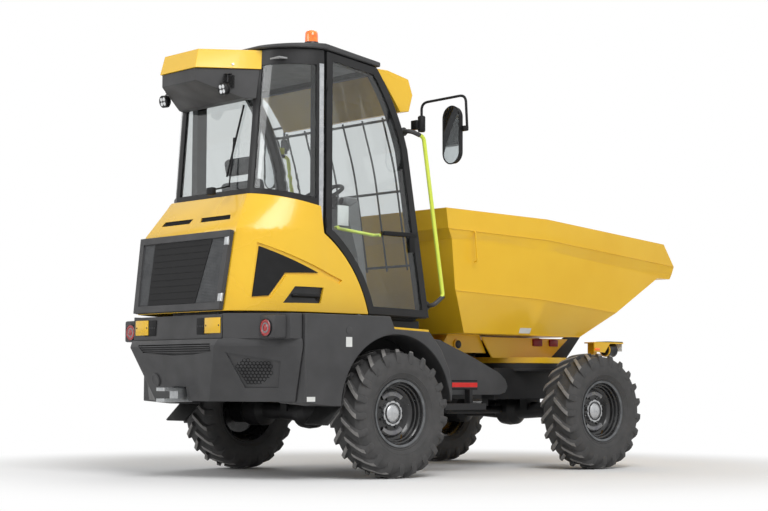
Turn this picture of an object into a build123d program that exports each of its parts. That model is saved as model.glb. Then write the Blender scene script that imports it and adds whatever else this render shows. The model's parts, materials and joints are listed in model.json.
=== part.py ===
from build123d import *
import os
from math import atan2, cos, degrees, hypot, radians, sin, sqrt, tan

os.makedirs("parts", exist_ok=True)

# Articulated swivel-skip site dumper with a cab.  Millimetres.
# +X forward (towards the skip's lip), +Y left, +Z up, ground at Z = 0,
# origin half way along the machine and half way between the axles.

# ---------- driving dimensions ----------
half_length = 2250        # origin to the skip's lip, and to the tow hitch's rear
wheelbase = 2000
track = 1640              # between tyre centres
tyre_diameter = 845
tyre_width = 290
lug_height = 26
lug_count = 18            # per side of each tyre
rim_seat_radius = 200
rim_flange_radius = 222
rim_flange_offset = 113   # tyre centre to the flange's outer face
rim_wall = 9
nave_offset = 18          # tyre centre to the outer face of the wheel disc
hub_radius = 92
stub_radius = 32          # axle stub inside the hub
running_gap = 0.5         # between a pin or stub and its bore
clear = 6                 # between pieces that move past each other

articulation_x = 300      # steering hinge, ahead of mid-wheelbase
pin_radius = 30
nose_eye_radius = 78
slew_x = 1020             # centre of the slew ring
ring_radius = 460
ring_bore = 380
ring_bottom = 735
ring_height = 38
tip_x, tip_z = 1470, 1000  # skip's tipping hinge
tip_pin_radius = 22

frame_bottom = 506
frame_top = 735
rail_inner, rail_outer = 170, 240
plate = 20                # chassis plate thickness

cab_half = 700            # to the outer face of a closed door
cab_floor_z = 1062
b_pillar_x = -1474
screen_foot = (-535, 1060)   # windscreen's lower edge, X and Z
screen_bend = (-738, 2200)   # where the windscreen starts to curve back
screen_crown = (-858, 2490)
screen_top = (-1020, 2735)
glass = 6
pillar = 50               # section of the cab's posts
belt_z = 1790             # lower edge of the rear glazing
door_thickness = 28

bonnet_half = 718
arch_radius = 484
arch_z = 453
fender_half = 900         # outer face of the wheel-arch panels

rear_axle_x = -wheelbase / 2
front_axle_x = wheelbase / 2
axle_z = tyre_diameter / 2


def outline(plane, *points):
    """Closed face of straight runs."""
    with BuildSketch(plane) as sketch:
        with BuildLine():
            Polyline(*points, close=True)
        make_face()
    return sketch.sketch


def save(piece, name):
    piece.part.label = name
    export_step(piece.part, f"parts/{name}.step")


def side_plane(y):
    """XZ plane at a distance to the left; extruding it runs to the right."""
    return Plane.XZ.offset(-y)


# ---------- wheels ----------
tread_radius = tyre_diameter / 2
half_width = tyre_width / 2
bead = rim_flange_offset - rim_wall
# radius and distance from the tyre's centre plane
tyre_section = [
    (rim_seat_radius, -bead), (rim_flange_radius + 8, -bead), (0.76 * tread_radius, -half_width),
    (0.955 * tread_radius, -0.95 * half_width), (tread_radius, -0.76 * half_width),
    (tread_radius, 0.76 * half_width), (0.955 * tread_radius, 0.95 * half_width),
    (0.76 * tread_radius, half_width), (rim_flange_radius + 8, bead), (rim_seat_radius, bead),
]
# name, centre X, centre Y, which way is outboard
wheels = [
    ("rear_right", rear_axle_x, -track / 2, -1), ("rear_left", rear_axle_x, track / 2, 1),
    ("front_right", front_axle_x, -track / 2, -1), ("front_left", front_axle_x, track / 2, 1),
]
for name, x, y, side in wheels:
    centre = Plane((x, y, axle_z), x_dir=(0, side, 0), z_dir=(1, 0, 0))
    with BuildPart() as tyre:
        revolve(outline(centre, *[(w, r) for r, w in tyre_section]), Axis((x, y, axle_z), (0, 1, 0)))
    save(tyre, f"tyre_{name}")

    flange = rim_flange_offset
    rim_section = [
        (-flange, rim_flange_radius), (-flange, rim_seat_radius - rim_wall),
        (nave_offset - 14, rim_seat_radius - 3 * rim_wall), (nave_offset - 14, 0),
        (nave_offset + 34, 0), (nave_offset + 34, hub_radius - 22), (nave_offset + 12, hub_radius),
        (nave_offset, hub_radius + 6), (nave_offset, rim_seat_radius - 3 * rim_wall),
        (flange, rim_seat_radius - rim_wall), (flange, rim_flange_radius),
        (flange - rim_wall, rim_flange_radius), (flange - rim_wall, rim_seat_radius),
        (rim_wall - flange, rim_seat_radius), (rim_wall - flange, rim_flange_radius),
    ]
    with BuildPart() as rim:
        revolve(outline(centre, *rim_section), Axis((x, y, axle_z), (0, 1, 0)))
        stub_mouth = Plane((x, y + side * (nave_offset - 14), axle_z), z_dir=(0, side, 0))
        with BuildSketch(stub_mouth):
            Circle(stub_radius + running_gap)
        extrude(amount=24, mode=Mode.SUBTRACT)
    save(rim, f"rim_{name}")

# ---------- axles ----------
hub_face = track / 2 + nave_offset - 14 - clear    # where the axle's flange ends
for name, x in (("rear_axle", rear_axle_x), ("front_axle", front_axle_x)):
    # distance along the axle and radius there
    axle_section = [
        (0, 0), (0, 118), (60, 112), (110, 70), (300, 58), (470, 58), (500, 105), (650, 105),
        (690, 88), (hub_face, 88), (hub_face, stub_radius), (hub_face + 24, stub_radius),
        (hub_face + 24, 0),
    ]
    with BuildPart() as axle:
        for side in (1, -1):
            along = Plane((x, 0, axle_z), x_dir=(0, side, 0), z_dir=(1, 0, 0))
            revolve(outline(along, *axle_section), Axis((x, 0, axle_z), (0, 1, 0)))
        saddle = (rail_inner + rail_outer) / 2
        with Locations((x, saddle, (axle_z + frame_bottom) / 2), (x, -saddle, (axle_z + frame_bottom) / 2)):
            Box(150, rail_outer - rail_inner, frame_bottom - axle_z)
    save(axle, name)

# ---------- rear chassis ----------
rail_rear, rail_front = -2030, 100
nose_bottom, nose_top = 562, 690
steer_base = (-400, 350)             # steering ram's pin on the rear frame, X and Y
steer_eye = (400, 310)               # its rod's eye, by the front frame
steer_z = 622
steer_radius, steer_rod, steer_eye_radius, steer_eye_half = 36, 20, 30, 20
steer_pin_radius = 20
# height of the bracket plates below and above the steering ram's eyes
steer_plates = (steer_z - steer_eye_half - clear - plate, steer_z + steer_eye_half + clear)
with BuildPart() as rear_frame:
    for side in (1, -1):
        with Locations(((rail_rear + rail_front) / 2, side * (rail_inner + rail_outer) / 2,
                        (frame_bottom + frame_top) / 2)):
            Box(rail_front - rail_rear, rail_outer - rail_inner, frame_top - frame_bottom)
    for x in (rail_rear + plate, -1300, -380, rail_front - plate):
        with Locations((x, 0, (frame_bottom + frame_top) / 2)):
            Box(2 * plate, 2 * rail_outer, frame_top - frame_bottom)
    nose = outline(Plane.XY.offset(nose_bottom), (rail_front - plate, -rail_outer),
                   (articulation_x, -nose_eye_radius), (articulation_x, nose_eye_radius),
                   (rail_front - plate, rail_outer))
    extrude(nose, amount=nose_top - nose_bottom)
    with Locations((articulation_x, 0, (nose_bottom + nose_top) / 2)):
        Cylinder(nose_eye_radius, nose_top - nose_bottom)
        Cylinder(pin_radius + running_gap, nose_top - nose_bottom, mode=Mode.SUBTRACT)
    for z in steer_plates:
        bracket = outline(Plane.XY.offset(z), (steer_base[0] - 90, rail_outer), (steer_base[0] + 34, rail_outer),
                          (steer_base[0] + 34, steer_base[1] + 34), (steer_base[0] - 34, steer_base[1] + 34))
        extrude(bracket, amount=plate)
    with Locations((*steer_base, steer_z)):
        Cylinder(steer_pin_radius, 2 * (steer_eye_half + clear + plate))
save(rear_frame, "rear_frame")

with BuildPart() as engine:
    with Locations((-1730, 0, frame_top)):
        Box(500, 520, 655, align=(Align.CENTER, Align.CENTER, Align.MIN))
save(engine, "engine_block")
print("chassis done")

# ---------- front chassis ----------
front_rear, front_front, front_half = 480, 1430, 330
with BuildPart() as front_frame:
    with Locations(((front_rear + front_front) / 2, 0, (frame_bottom + frame_top) / 2)):
        Box(front_front - front_rear, 2 * front_half, frame_top - frame_bottom)
    with Locations(((front_rear + front_front) / 2, 0, (frame_bottom + frame_top) / 2 - plate)):
        Box(front_front - front_rear - 2 * plate, 2 * (front_half - plate), frame_top - frame_bottom,
            mode=Mode.SUBTRACT)
    with Locations((slew_x, 0, frame_top - plate / 2)):
        Cylinder(ring_radius + 10, plate)
    # two ears above and below the rear frame's nose
    for z0, z1 in ((frame_bottom, nose_bottom - clear), (nose_top + clear, frame_top)):
        ear = outline(Plane.XY.offset(z0), (front_rear, -200), (front_rear, 200),
                      (articulation_x, nose_eye_radius), (articulation_x, -nose_eye_radius))
        extrude(ear, amount=z1 - z0)
        with Locations((articulation_x, 0, (z0 + z1) / 2)):
            Cylinder(nose_eye_radius, z1 - z0)
    with Locations((articulation_x, 0, (frame_bottom + frame_top) / 2)):
        Cylinder(pin_radius, frame_top - frame_bottom)
    for z in steer_plates:
        lug = outline(Plane.XY.offset(z), (front_rear, steer_eye[1] - 70), (front_rear, front_half),
                      (steer_eye[0], steer_eye[1] + 30), (steer_eye[0] - 30, steer_eye[1]),
                      (steer_eye[0], steer_eye[1] - 30))
        extrude(lug, amount=plate)
    # the axle's middle stands in the open bottom of the beam
    for side in (1, -1):
        with Locations((front_axle_x, side * (rail_inner + rail_outer) / 2, frame_bottom + 30)):
            Box(150, rail_outer - rail_inner, 60)
        with Locations((front_axle_x, side * (rail_outer + front_half) / 2, frame_bottom + 30)):
            Box(150, front_half - rail_outer, 60)
save(front_frame, "front_frame")

with BuildPart() as ring_lower:
    with Locations((slew_x, 0, ring_bottom + ring_height / 2)):
        Cylinder(ring_radius, ring_height)
        Cylinder(ring_bore, ring_height, mode=Mode.SUBTRACT)
save(ring_lower, "slew_ring")

# ---------- turntable ----------
table_bottom = ring_bottom + ring_height + 1
table_top = table_bottom + 44
keel_y, keel_plate = 280, 14
slot_rear, slot_front, slot_half = 640, 1300, 80
ram_base_x, ram_base_z = 1200, 812
ram_pin_radius, ram_eye_half = 20, 40
with BuildPart() as turntable:
    with Locations((slew_x, 0, (table_bottom + table_top) / 2)):
        Cylinder(ring_radius - 12, table_top - table_bottom)
    with Locations((slew_x, 0, table_bottom)):
        Cylinder(ring_bore, 2 * (table_top - table_bottom - 16), mode=Mode.SUBTRACT)
    with Locations(((slot_rear + slot_front) / 2, 0, table_top)):
        Box(slot_front - slot_rear, 2 * slot_half, 120, mode=Mode.SUBTRACT)
    for side in (1, -1):
        with Locations((ram_base_x, side * (ram_eye_half + clear + slot_half + 4) / 2, ram_base_z)):
            Box(84, slot_half + 4 - ram_eye_half - clear, 84)
    with Locations((ram_base_x, 0, ram_base_z)):
        Cylinder(ram_pin_radius, 2 * slot_half, rotation=(90, 0, 0))
    for side in (1, -1):
        keel = outline(side_plane(side * keel_y + keel_plate / 2), (397, 965), (507, table_top - 6),
                       (1137, table_top - 6), (1342, 965))
        extrude(keel, amount=keel_plate)
        for x in (560, 760, 960):
            with Locations((x + 60, side * (keel_y - 60), 900)):
                Box(keel_plate, 120, 130)
save(turntable, "turntable")

arm_y, arm_plate = 240, 30
with BuildPart() as arms:
    for side in (1, -1):
        arm = outline(side_plane(side * arm_y + arm_plate / 2), (1060, table_top), (1360, table_top),
                      (tip_x + 46, tip_z - 20), (tip_x + 20, tip_z + 44), (tip_x - 44, tip_z + 20))
        extrude(arm, amount=arm_plate)
        pin = Plane((tip_x, side * (arm_y + arm_plate / 2), tip_z), z_dir=(0, -side, 0))
        with BuildSketch(pin):
            Circle(tip_pin_radius)
        extrude(amount=110)
save(arms, "tip_arms")

# ---------- skip ----------
skip_wall = 8
skip_rear, skip_bend = -400, 665
# fold line: half width and height at the rear wall, at the bend and at the lip
folds = [
    ("rim", (700, 1839), (700, 1824), (612, 1717)),
    ("band", (694, 1699), (694, 1673), (606, 1555)),
    ("step", (660, 1628), (660, 1596), (574, 1458)),
    ("knee", (636, 1278), (636, 1238), (552, 1112)),
    ("floor", (520, 977), (520, 977), (455, 970)),
]
# side view, from the rear rim round underneath to the lip
skip_side = [
    (-365, 1839), (-339, 1699), (-273, 1628), (-218, 1278), (-18, 979), (1245, 977),
    (1561, 1167), (2070, 1458), (half_length - 14, 1458), (half_length - 4, 1497),
    (half_length, 1555), (2108, 1727), (skip_bend, 1824),
]
skip_inside = [
    (-355, 1900), (-329, 1702), (-263, 1631), (-209, 1283), (-13, 988), (1242, 986),
    (1556, 1176), (2060, 1467), (half_length - 24, 1497), (half_length + 30, 1600),
    (half_length + 30, 1900),
]


def skip_sections(inset, rise):
    faces = []
    for x, column in ((skip_rear, 1), (skip_bend, 2), (half_length + 40, 3)):
        points = [row[column] for row in folds]
        points = [(w - inset, z + (inset if i == len(points) - 1 else 0)) for i, (w, z) in enumerate(points)]
        if rise:
            points[0] = (points[0][0], points[0][1] + rise)
        loop = points + [(-w, z) for w, z in reversed(points)]
        faces.append(outline(Plane.YZ.offset(x), *loop))
    return faces


with BuildPart() as skip_hollow:
    loft(skip_sections(skip_wall, 90), ruled=True)
    extrude(outline(side_plane(0), *skip_inside), amount=1000, both=True, mode=Mode.INTERSECT)
boss_x, boss_z = 170, 905
with BuildPart() as skip:
    loft(skip_sections(0, 0), ruled=True)
    extrude(outline(side_plane(0), *skip_side), amount=1000, both=True, mode=Mode.INTERSECT)
    add(skip_hollow.part, mode=Mode.SUBTRACT)
    # hanging brackets that hold the ram's eye
    for y in (-256, -56, 42, 242):
        hanger = outline(side_plane(y + 14), (80, 982), (400, 982), (470, 846), (120, 846), (10, 880))
        extrude(hanger, amount=14)
    for side in (1, -1):
        with BuildSketch(Plane((boss_x, side * 270, boss_z), z_dir=(0, -side, 0))):
            Circle(38)
        extrude(amount=212)
        lug = outline(side_plane(side * 190 + 20), (tip_x - 180, 1008), (tip_x + 80, 1164),
                      (tip_x + 44, tip_z - 12), (tip_x - 6, tip_z - 44), (tip_x - 44, tip_z - 12))
        extrude(lug, amount=40)
        with BuildSketch(Plane((tip_x, side * 220, tip_z), z_dir=(0, -side, 0))):
            Circle(tip_pin_radius + running_gap)
        extrude(amount=80, mode=Mode.SUBTRACT)
save(skip, "skip")
print("skip done")

# ---------- tipping ram ----------
ram_angle = atan2(boss_z - ram_base_z, boss_x - ram_base_x)
ram_length = hypot(boss_x - ram_base_x, boss_z - ram_base_z)
barrel_radius, rod_radius, eye_radius = 42, 24, 34
barrel_length = 610


def along_ram(distance):
    """Plane square to the tipping ram, its normal towards the rod's eye."""
    x = ram_base_x + distance * cos(ram_angle)
    z = ram_base_z + distance * sin(ram_angle)
    return Plane((x, 0, z), z_dir=(cos(ram_angle), 0, sin(ram_angle)))


with BuildPart() as barrel:
    with BuildSketch(along_ram(30)):
        Circle(barrel_radius)
    extrude(amount=barrel_length - 30)
    with Locations((ram_base_x, 0, ram_base_z)):
        Cylinder(ram_pin_radius + 18, 2 * ram_eye_half, rotation=(90, 0, 0))
        Cylinder(ram_pin_radius + running_gap, 4 * ram_eye_half, rotation=(90, 0, 0), mode=Mode.SUBTRACT)
save(barrel, "tip_ram_barrel")
with BuildPart() as rod:
    with BuildSketch(along_ram(barrel_length + 1)):
        Circle(rod_radius)
    extrude(amount=ram_length - barrel_length - 1)
    with Locations((boss_x, 0, boss_z)):
        Cylinder(eye_radius, 56, rotation=(90, 0, 0))
        Cylinder(ram_pin_radius + running_gap, 112, rotation=(90, 0, 0), mode=Mode.SUBTRACT)
save(rod, "tip_ram_rod")
print("tipping ram done")

# ---------- steering ram ----------
steer_length = hypot(steer_eye[0] - steer_base[0], steer_eye[1] - steer_base[1])
steer_barrel = 560
steer_stroke = 180
steer_yaw = atan2(steer_eye[1] - steer_base[1], steer_eye[0] - steer_base[0])


def along_steer(distance):
    x = steer_base[0] + distance * cos(steer_yaw)
    y = steer_base[1] + distance * sin(steer_yaw)
    return Plane((x, y, steer_z), z_dir=(cos(steer_yaw), sin(steer_yaw), 0))


with BuildPart() as steer_barrel_part:
    with BuildSketch(along_steer(24)):
        Circle(steer_eye_half)
    extrude(amount=30)
    with BuildSketch(along_steer(50)):
        Circle(steer_radius)
    extrude(amount=steer_barrel - 50)
    with Locations((*steer_base, steer_z)):
        Cylinder(steer_eye_radius, 2 * steer_eye_half)
        Cylinder(steer_pin_radius + running_gap, 4 * steer_eye_half, mode=Mode.SUBTRACT)
    # bored for the rod, which runs back as the machine steers to the left
    with BuildSketch(along_steer(steer_barrel - steer_stroke)):
        Circle(steer_rod + clear)
    extrude(amount=steer_stroke, mode=Mode.SUBTRACT)
save(steer_barrel_part, "steering_ram_barrel")
with BuildPart() as steer_rod_part:
    with BuildSketch(along_steer(steer_barrel + 1)):
        Circle(steer_rod)
    extrude(amount=steer_length - steer_barrel - 1)
    with Locations((*steer_eye, steer_z)):
        Cylinder(steer_eye_radius, 2 * steer_eye_half)
        Cylinder(steer_pin_radius + running_gap, 4 * steer_eye_half, mode=Mode.SUBTRACT)
save(steer_rod_part, "steering_ram_rod")
print("steering ram done")

# ---------- cab: shared outlines ----------
side_y0, side_y1 = 630, 678          # side frame's inner and outer face
door_y0 = side_y1 + clear
door_y1 = door_y0 + door_thickness
b_post_rear = b_pillar_x - 56
hood_front = (-1089, 1072)           # bonnet's front edge meets the sill
hood_middle = (-1291, 1441)
hood_crown = (b_pillar_x, 1590)
cab_rear_foot, cab_rear_top = -1883, -1780   # rear face at the heights below
rear_z0, rear_z1 = 1500, 2790
corner_half = 412                    # rear face's half width, before the corner glass curves
belt_rear, belt_front = (-1875, 1845), (-1500, 1768)


def side_face(rear_x, inset, plane):
    """Side view of the cab's opening: sill, windscreen line, roof rail, rear post, bonnet line."""
    crown = (max(rear_x, b_pillar_x), hood_crown[1])
    rail = [screen_top, (crown[0], 2790)]
    if rear_x < crown[0]:
        rail += [(rear_x, 2794), (rear_x, crown[1])]
    with BuildSketch(plane) as sketch:
        with BuildLine():
            Line(hood_front, screen_foot)
            Line(screen_foot, screen_bend)
            ThreePointArc(screen_bend, screen_crown, screen_top)
            Polyline(*rail, crown)
            ThreePointArc(crown, hood_middle, hood_front)
        make_face()
        if inset:
            offset(amount=-inset, kind=Kind.INTERSECTION)
    return sketch.sketch


def cab_plan(z, rear_x, inset, rear_half=corner_half, front=(-1480, 702), close_x=-1440):
    """Plan of the cab's rounded rear at a height."""
    x0, y0 = rear_x + inset, rear_half - 0.4 * inset
    x1, y1 = front[0], front[1] - inset
    middle = (x0 + 0.30 * (x1 - x0), y0 + 0.62 * (y1 - y0))
    with BuildSketch(Plane.XY.offset(z)) as sketch:
        with BuildLine():
            Line((x0, -y0), (x0, y0))
            ThreePointArc((x0, y0), middle, (x1, y1))
            Polyline((x1, y1), (close_x, y1), (close_x, -y1), (x1, -y1))
            ThreePointArc((x1, -y1), (middle[0], -middle[1]), (x0, -y0))
        make_face()
    return sketch.sketch


def cab_rear(inset):
    """Solid inside the cab's rear surface, drawn in by an inset."""
    with BuildPart() as solid:
        loft([cab_plan(rear_z0, cab_rear_foot, inset), cab_plan(rear_z1, cab_rear_top, inset)])
    return solid.part


# ---------- cab frame ----------
rear_outer, rear_inner = cab_rear(0), cab_rear(28)
post_half = 28
with BuildPart() as rear_openings:
    window = outline(side_plane(0), (-2000, belt_rear[1] + 40), (belt_rear[0], belt_rear[1] + 40),
                     (b_post_rear, belt_front[1] + 46), (b_post_rear, 2690), (-2000, 2690))
    extrude(window, amount=1000, both=True)
    for side in (1, -1):
        with Locations((-1800, side * (corner_half - 6), 2200)):
            Box(300, 2 * post_half, 1300, mode=Mode.SUBTRACT)
with BuildPart() as rear_bands:
    # the belt, the head band and the two rear posts stay
    add(rear_outer)
    add(rear_inner, mode=Mode.SUBTRACT)
    add(rear_openings.part, mode=Mode.SUBTRACT)
    below = outline(side_plane(0), (-2000, belt_rear[1]), belt_rear, belt_front, (-1400, belt_front[1]),
                    (-1400, 1400), (-2000, 1400))
    extrude(below, amount=1000, both=True, mode=Mode.SUBTRACT)
    with Locations((b_pillar_x + 100 - 2, 0, 2200)):
        Box(200, 2000, 1600, mode=Mode.SUBTRACT)

with BuildPart() as cab_frame:
    add(rear_bands.part)
    for side in (1, -1):
        y = max(side * side_y0, side * side_y1)
        extrude(side_face(b_post_rear, 0, side_plane(y)), amount=side_y1 - side_y0)
        extrude(side_face(b_post_rear, pillar, side_plane(y)), amount=side_y1 - side_y0, mode=Mode.SUBTRACT)
    for x0, x1, z0, z1 in ((-575, -535, 1062, 1112), (-1052, -1012, 2686, 2730), (b_post_rear, b_pillar_x, 2745, 2790)):
        with Locations(((x0 + x1) / 2, 0, (z0 + z1) / 2)):
            Box(x1 - x0, 2 * side_y0 + 10, z1 - z0)
save(cab_frame, "cab_frame")

with BuildPart() as rear_glass:
    add(cab_rear(8))
    add(cab_rear(8 + glass), mode=Mode.SUBTRACT)
    extrude(outline(side_plane(0), (-2000, belt_rear[1] + 4), (belt_rear[0], belt_rear[1] + 4),
                    (-1484, belt_front[1] + 4), (-1484, 2750), (-2000, 2750)), amount=1000, both=True,
            mode=Mode.INTERSECT)
    add(cab_frame.part, mode=Mode.SUBTRACT)
save(rear_glass, "rear_glazing")

with BuildPart() as windscreen:
    extrude(side_face(b_pillar_x, 8, side_plane(side_y0 - 2)), amount=2 * side_y0 - 4)
    extrude(side_face(b_pillar_x, 8 + glass, side_plane(side_y0)), amount=2 * side_y0, mode=Mode.SUBTRACT)
    extrude(outline(side_plane(0), (-400, 1116), (-700, 1116), (-1010, 2400), (-1010, 2726), (-400, 2726)),
            amount=1000, both=True, mode=Mode.INTERSECT)
    add(cab_frame.part, mode=Mode.SUBTRACT)
save(windscreen, "windscreen")

with BuildPart() as roof:
    extrude(cab_plan(2650, -1812, 0, rear_half=428, front=(-1480, 724), close_x=-1000), amount=300)
    extrude(outline(side_plane(0), (-1000, 2737), (b_pillar_x, 2796), (-1830, 2796), (-1830, 2816),
                    (b_pillar_x, 2834), (-1000, 2770)), amount=1000, both=True, mode=Mode.INTERSECT)
save(roof, "cab_roof")
print("cab frame done")

# ---------- doors ----------
for name, side in (("right", -1), ("left", 1)):
    y = max(side * door_y0, side * door_y1)
    with BuildPart() as door:
        extrude(side_face(b_pillar_x + 8, 6, side_plane(y)), amount=door_thickness)
        extrude(side_face(b_pillar_x + 8, 56, side_plane(y)), amount=door_thickness, mode=Mode.SUBTRACT)
    save(door, f"door_{name}")
    with BuildPart() as pane:
        pane_y = side * (door_y0 + door_y1) / 2 + glass / 2
        extrude(side_face(b_pillar_x + 8, 56, side_plane(pane_y)), amount=glass)
    save(pane, f"door_glass_{name}")
print("doors done")

# ---------- cab floor, seat and controls ----------
tub_sheet = 20
with BuildPart() as cab_floor:
    tub = [(-580, 1066), (-1110, 1066), (-1110, 1420), (-1600, 1420), (-1600, 1660), (-1830, 1800)]
    under = [(-1845, 1784), (-1620, 1648), (-1620, 1400), (-1130, 1400), (-1130, 1046), (-580, 1046)]
    extrude(outline(side_plane(0), *tub, *under), amount=side_y0 - 4, both=True)
    # its rear corners are rounded like the cab's
    extrude(cab_plan(1000, cab_rear_foot, 36, close_x=-540), amount=1000, mode=Mode.INTERSECT)
save(cab_floor, "cab_floor")

with BuildPart() as cab_base:
    with Locations((-810, 0, 1012)):
        Box(580, 1180, 68)
    with Locations((-810, 0, (frame_top + 978) / 2)):
        Box(420, 2 * rail_outer, 978 - frame_top)
save(cab_base, "cab_base")

with BuildPart() as seat_base:
    with Locations((-1330, 0, 1470)):
        Box(380, 400, 100)
save(seat_base, "seat_base")
with BuildPart() as seat_pads:
    with Locations((-1310, 0, 1570)):
        Box(480, 480, 100)
    with Locations(Location((-1590, 0, 1880), (0, -12, 0))):
        Box(100, 460, 560)
save(seat_pads, "seat_pads")

wheel_tilt = 28
with BuildPart() as steering_wheel:
    with Locations(Location((-930, 0, 1930), (0, -wheel_tilt, 0))):
        Torus(172, 14)
        Cylinder(40, 30)
        for turn in (0, 120, 240):
            with Locations(Location((0, 0, 0), (0, 0, turn))):
                with Locations((86, 0, 0)):
                    Box(170, 26, 12)
        with Locations((0, 0, -90)):
            Cylinder(22, 170)
save(steering_wheel, "steering_wheel")
with BuildPart() as dash:
    cowl = outline(side_plane(150), (-580, 1068), (-760, 1068), (-700, 1500), (-810, 1840), (-700, 1900),
                   (-640, 1500))
    extrude(cowl, amount=300)
    add(steering_wheel.part, mode=Mode.SUBTRACT)
save(dash, "dash_console")

print("cab inside done")

# ---------- bonnet ----------
bonnet_wall = 22
# height, rear face X, rear half width, front X and half width
bonnet_rings = [
    (1072, -2108, 488, -1450, 718), (1600, -2037, 514, -1450, 716), (1860, -1872, 416, -1478, 706),
]


def bonnet_solid(inset):
    faces = []
    for z, rear_x, rear_half, front_x, front_half in bonnet_rings:
        faces.append(cab_plan(z, rear_x, inset, rear_half, (front_x, front_half), close_x=-1000))
    with BuildPart() as solid:
        loft(faces[:2])
        loft(faces[1:])
    return solid.part


def bonnet_side(plane):
    """Side view of the bonnet: its belt line, and the front edge that follows the door."""
    gap = 6
    with BuildSketch(plane) as sketch:
        with BuildLine():
            Polyline((hood_front[0] - gap, 1000), (-2200, 1000), (-2200, belt_rear[1] - 4),
                     (belt_rear[0], belt_rear[1] - 4), (belt_front[0], belt_front[1] - 4),
                     (hood_crown[0] - gap, hood_crown[1]))
            ThreePointArc((hood_crown[0] - gap, hood_crown[1]), (hood_middle[0] - gap, hood_middle[1]),
                          (hood_front[0] - gap, hood_front[1]))
            Line((hood_front[0] - gap, hood_front[1]), (hood_front[0] - gap, 1000))
        make_face()
    return sketch.sketch


with BuildPart() as bonnet:
    add(bonnet_solid(0))
    extrude(bonnet_side(side_plane(0)), amount=1000, both=True, mode=Mode.INTERSECT)
    add(bonnet_solid(bonnet_wall), mode=Mode.SUBTRACT)
    with Locations((-2090, 0, 1330)):
        Box(200, 880, 420, mode=Mode.SUBTRACT)
save(bonnet, "bonnet")
print("bonnet done")

# ---------- rear grille door ----------
grille_foot, grille_head = (-2108, 1076), (-2040, 1584)
grille_lean = atan2(grille_head[0] - grille_foot[0], grille_head[1] - grille_foot[1])
grille_tall = hypot(grille_head[0] - grille_foot[0], grille_head[1] - grille_foot[1])
grille_half0, grille_half1 = 484, 508
grille_thick, grille_border = 34, 46
# local X to the right as seen from behind, local Y up the door, normal backwards
grille_plane = Plane((grille_foot[0] - clear, 0, grille_foot[1]), x_dir=(0, -1, 0),
                     z_dir=(-cos(grille_lean), 0, sin(grille_lean)))
with BuildPart() as grille_door:
    extrude(outline(grille_plane, (-grille_half0, 0), (grille_half0, 0), (grille_half1, grille_tall),
                    (-grille_half1, grille_tall)), amount=grille_thick)
    b = grille_border
    recess = outline(grille_plane.offset(grille_thick - 12), (b - grille_half0, b), (grille_half0 - b, b),
                     (grille_half1 - b, grille_tall - b), (b - grille_half1, grille_tall - b))
    extrude(recess, amount=20, mode=Mode.SUBTRACT)
save(grille_door, "grille_door")

# ---------- lower rear panel ----------
with BuildPart() as rear_panel:
    box = outline(side_plane(0), (-2132, 898), (-2126, 1052), (-2040, 1052), (-2040, 898))
    extrude(box, amount=494, both=True)
    for side in (1, -1):
        with Locations((-2130, side * 330, 975)):
            Box(60, 90, 96, mode=Mode.SUBTRACT)
save(rear_panel, "rear_panel")

# ---------- bumper ----------
# height, rear X, rear half width, corner X, corner half width
bumper_rings = [(500, -2081, 300, -1790, 812), (853, -2173, 474, -1790, 886), (896, -2150, 486, -1790, 878)]
bumper_front = -1784


def bumper_plan(ring, inset):
    z, rear_x, rear_half, corner_x, corner_half = ring
    x0, y0, y1 = rear_x + inset, rear_half - 0.5 * inset, corner_half - inset
    return outline(Plane.XY.offset(z), (x0, -y0), (x0, y0), (corner_x, y1), (bumper_front, y1),
                   (bumper_front, -y1), (corner_x, -y1))


def bumper_solid(inset):
    faces = [bumper_plan(ring, inset) for ring in bumper_rings]
    with BuildPart() as solid:
        loft(faces[:2], ruled=True)
        loft(faces[1:], ruled=True)
    return solid.part


with BuildPart() as bumper:
    add(bumper_solid(0))
    # upper corners, beside the lower rear panel
    for side in (1, -1):
        corner = outline(Plane.XY.offset(896), (-2126, side * 500), (-1860, side * 850), (bumper_front, side * 872),
                         (bumper_front, side * 500))
        extrude(corner, amount=160)
    add(bumper_solid(24), mode=Mode.SUBTRACT)
    with Locations((-1900, 0, 980)):
        Box(480, 988, 200, mode=Mode.SUBTRACT)
    # notch for the tow hitch
    with Locations((-2100, 0, 500)):
        Box(200, 150, 184, mode=Mode.SUBTRACT)
save(bumper, "bumper")

# ---------- tow hitch ----------
hitch_z, hitch_pin = 540, 14
with BuildPart() as hitch:
    with Locations(((-half_length + rail_rear) / 2, 0, hitch_z)):
        Box(rail_rear + half_length, 92, 92)
    with Locations((-half_length + 50, 0, hitch_z)):
        Box(110, 100, 48, mode=Mode.SUBTRACT)
        Cylinder(hitch_pin, 120, mode=Mode.SUBTRACT)
    with Locations((rail_rear - 8, 0, 585)):
        Box(16, 2 * rail_outer, 150)
save(hitch, "tow_hitch")

# ---------- wheel-arch panels ----------
fender_side = [
    (bumper_front + 6, 492), (-1557, 471), (-1300, 471), (-1000, 700), (-700, 471), (-503, 501), (-499, 560),
    (-527, 713), (-601, 845), (-710, 962), (-1023, 974), (-1062, 1056), (bumper_front + 6, 1056),
]
fender_inner = 632
for name, side in (("right", -1), ("left", 1)):
    y = max(side * fender_inner, side * fender_half)
    with BuildPart() as fender:
        extrude(outline(side_plane(y), *fender_side), amount=fender_half - fender_inner)
        with BuildSketch(side_plane(y)):
            with Locations((rear_axle_x + 4, arch_z)):
                Circle(arch_radius)
        extrude(amount=fender_half - fender_inner, mode=Mode.SUBTRACT)
        with Locations((-1000, side * 750, 300)):
            Box(940, 400, 360, mode=Mode.SUBTRACT)
    save(fender, f"fender_{name}")

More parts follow.
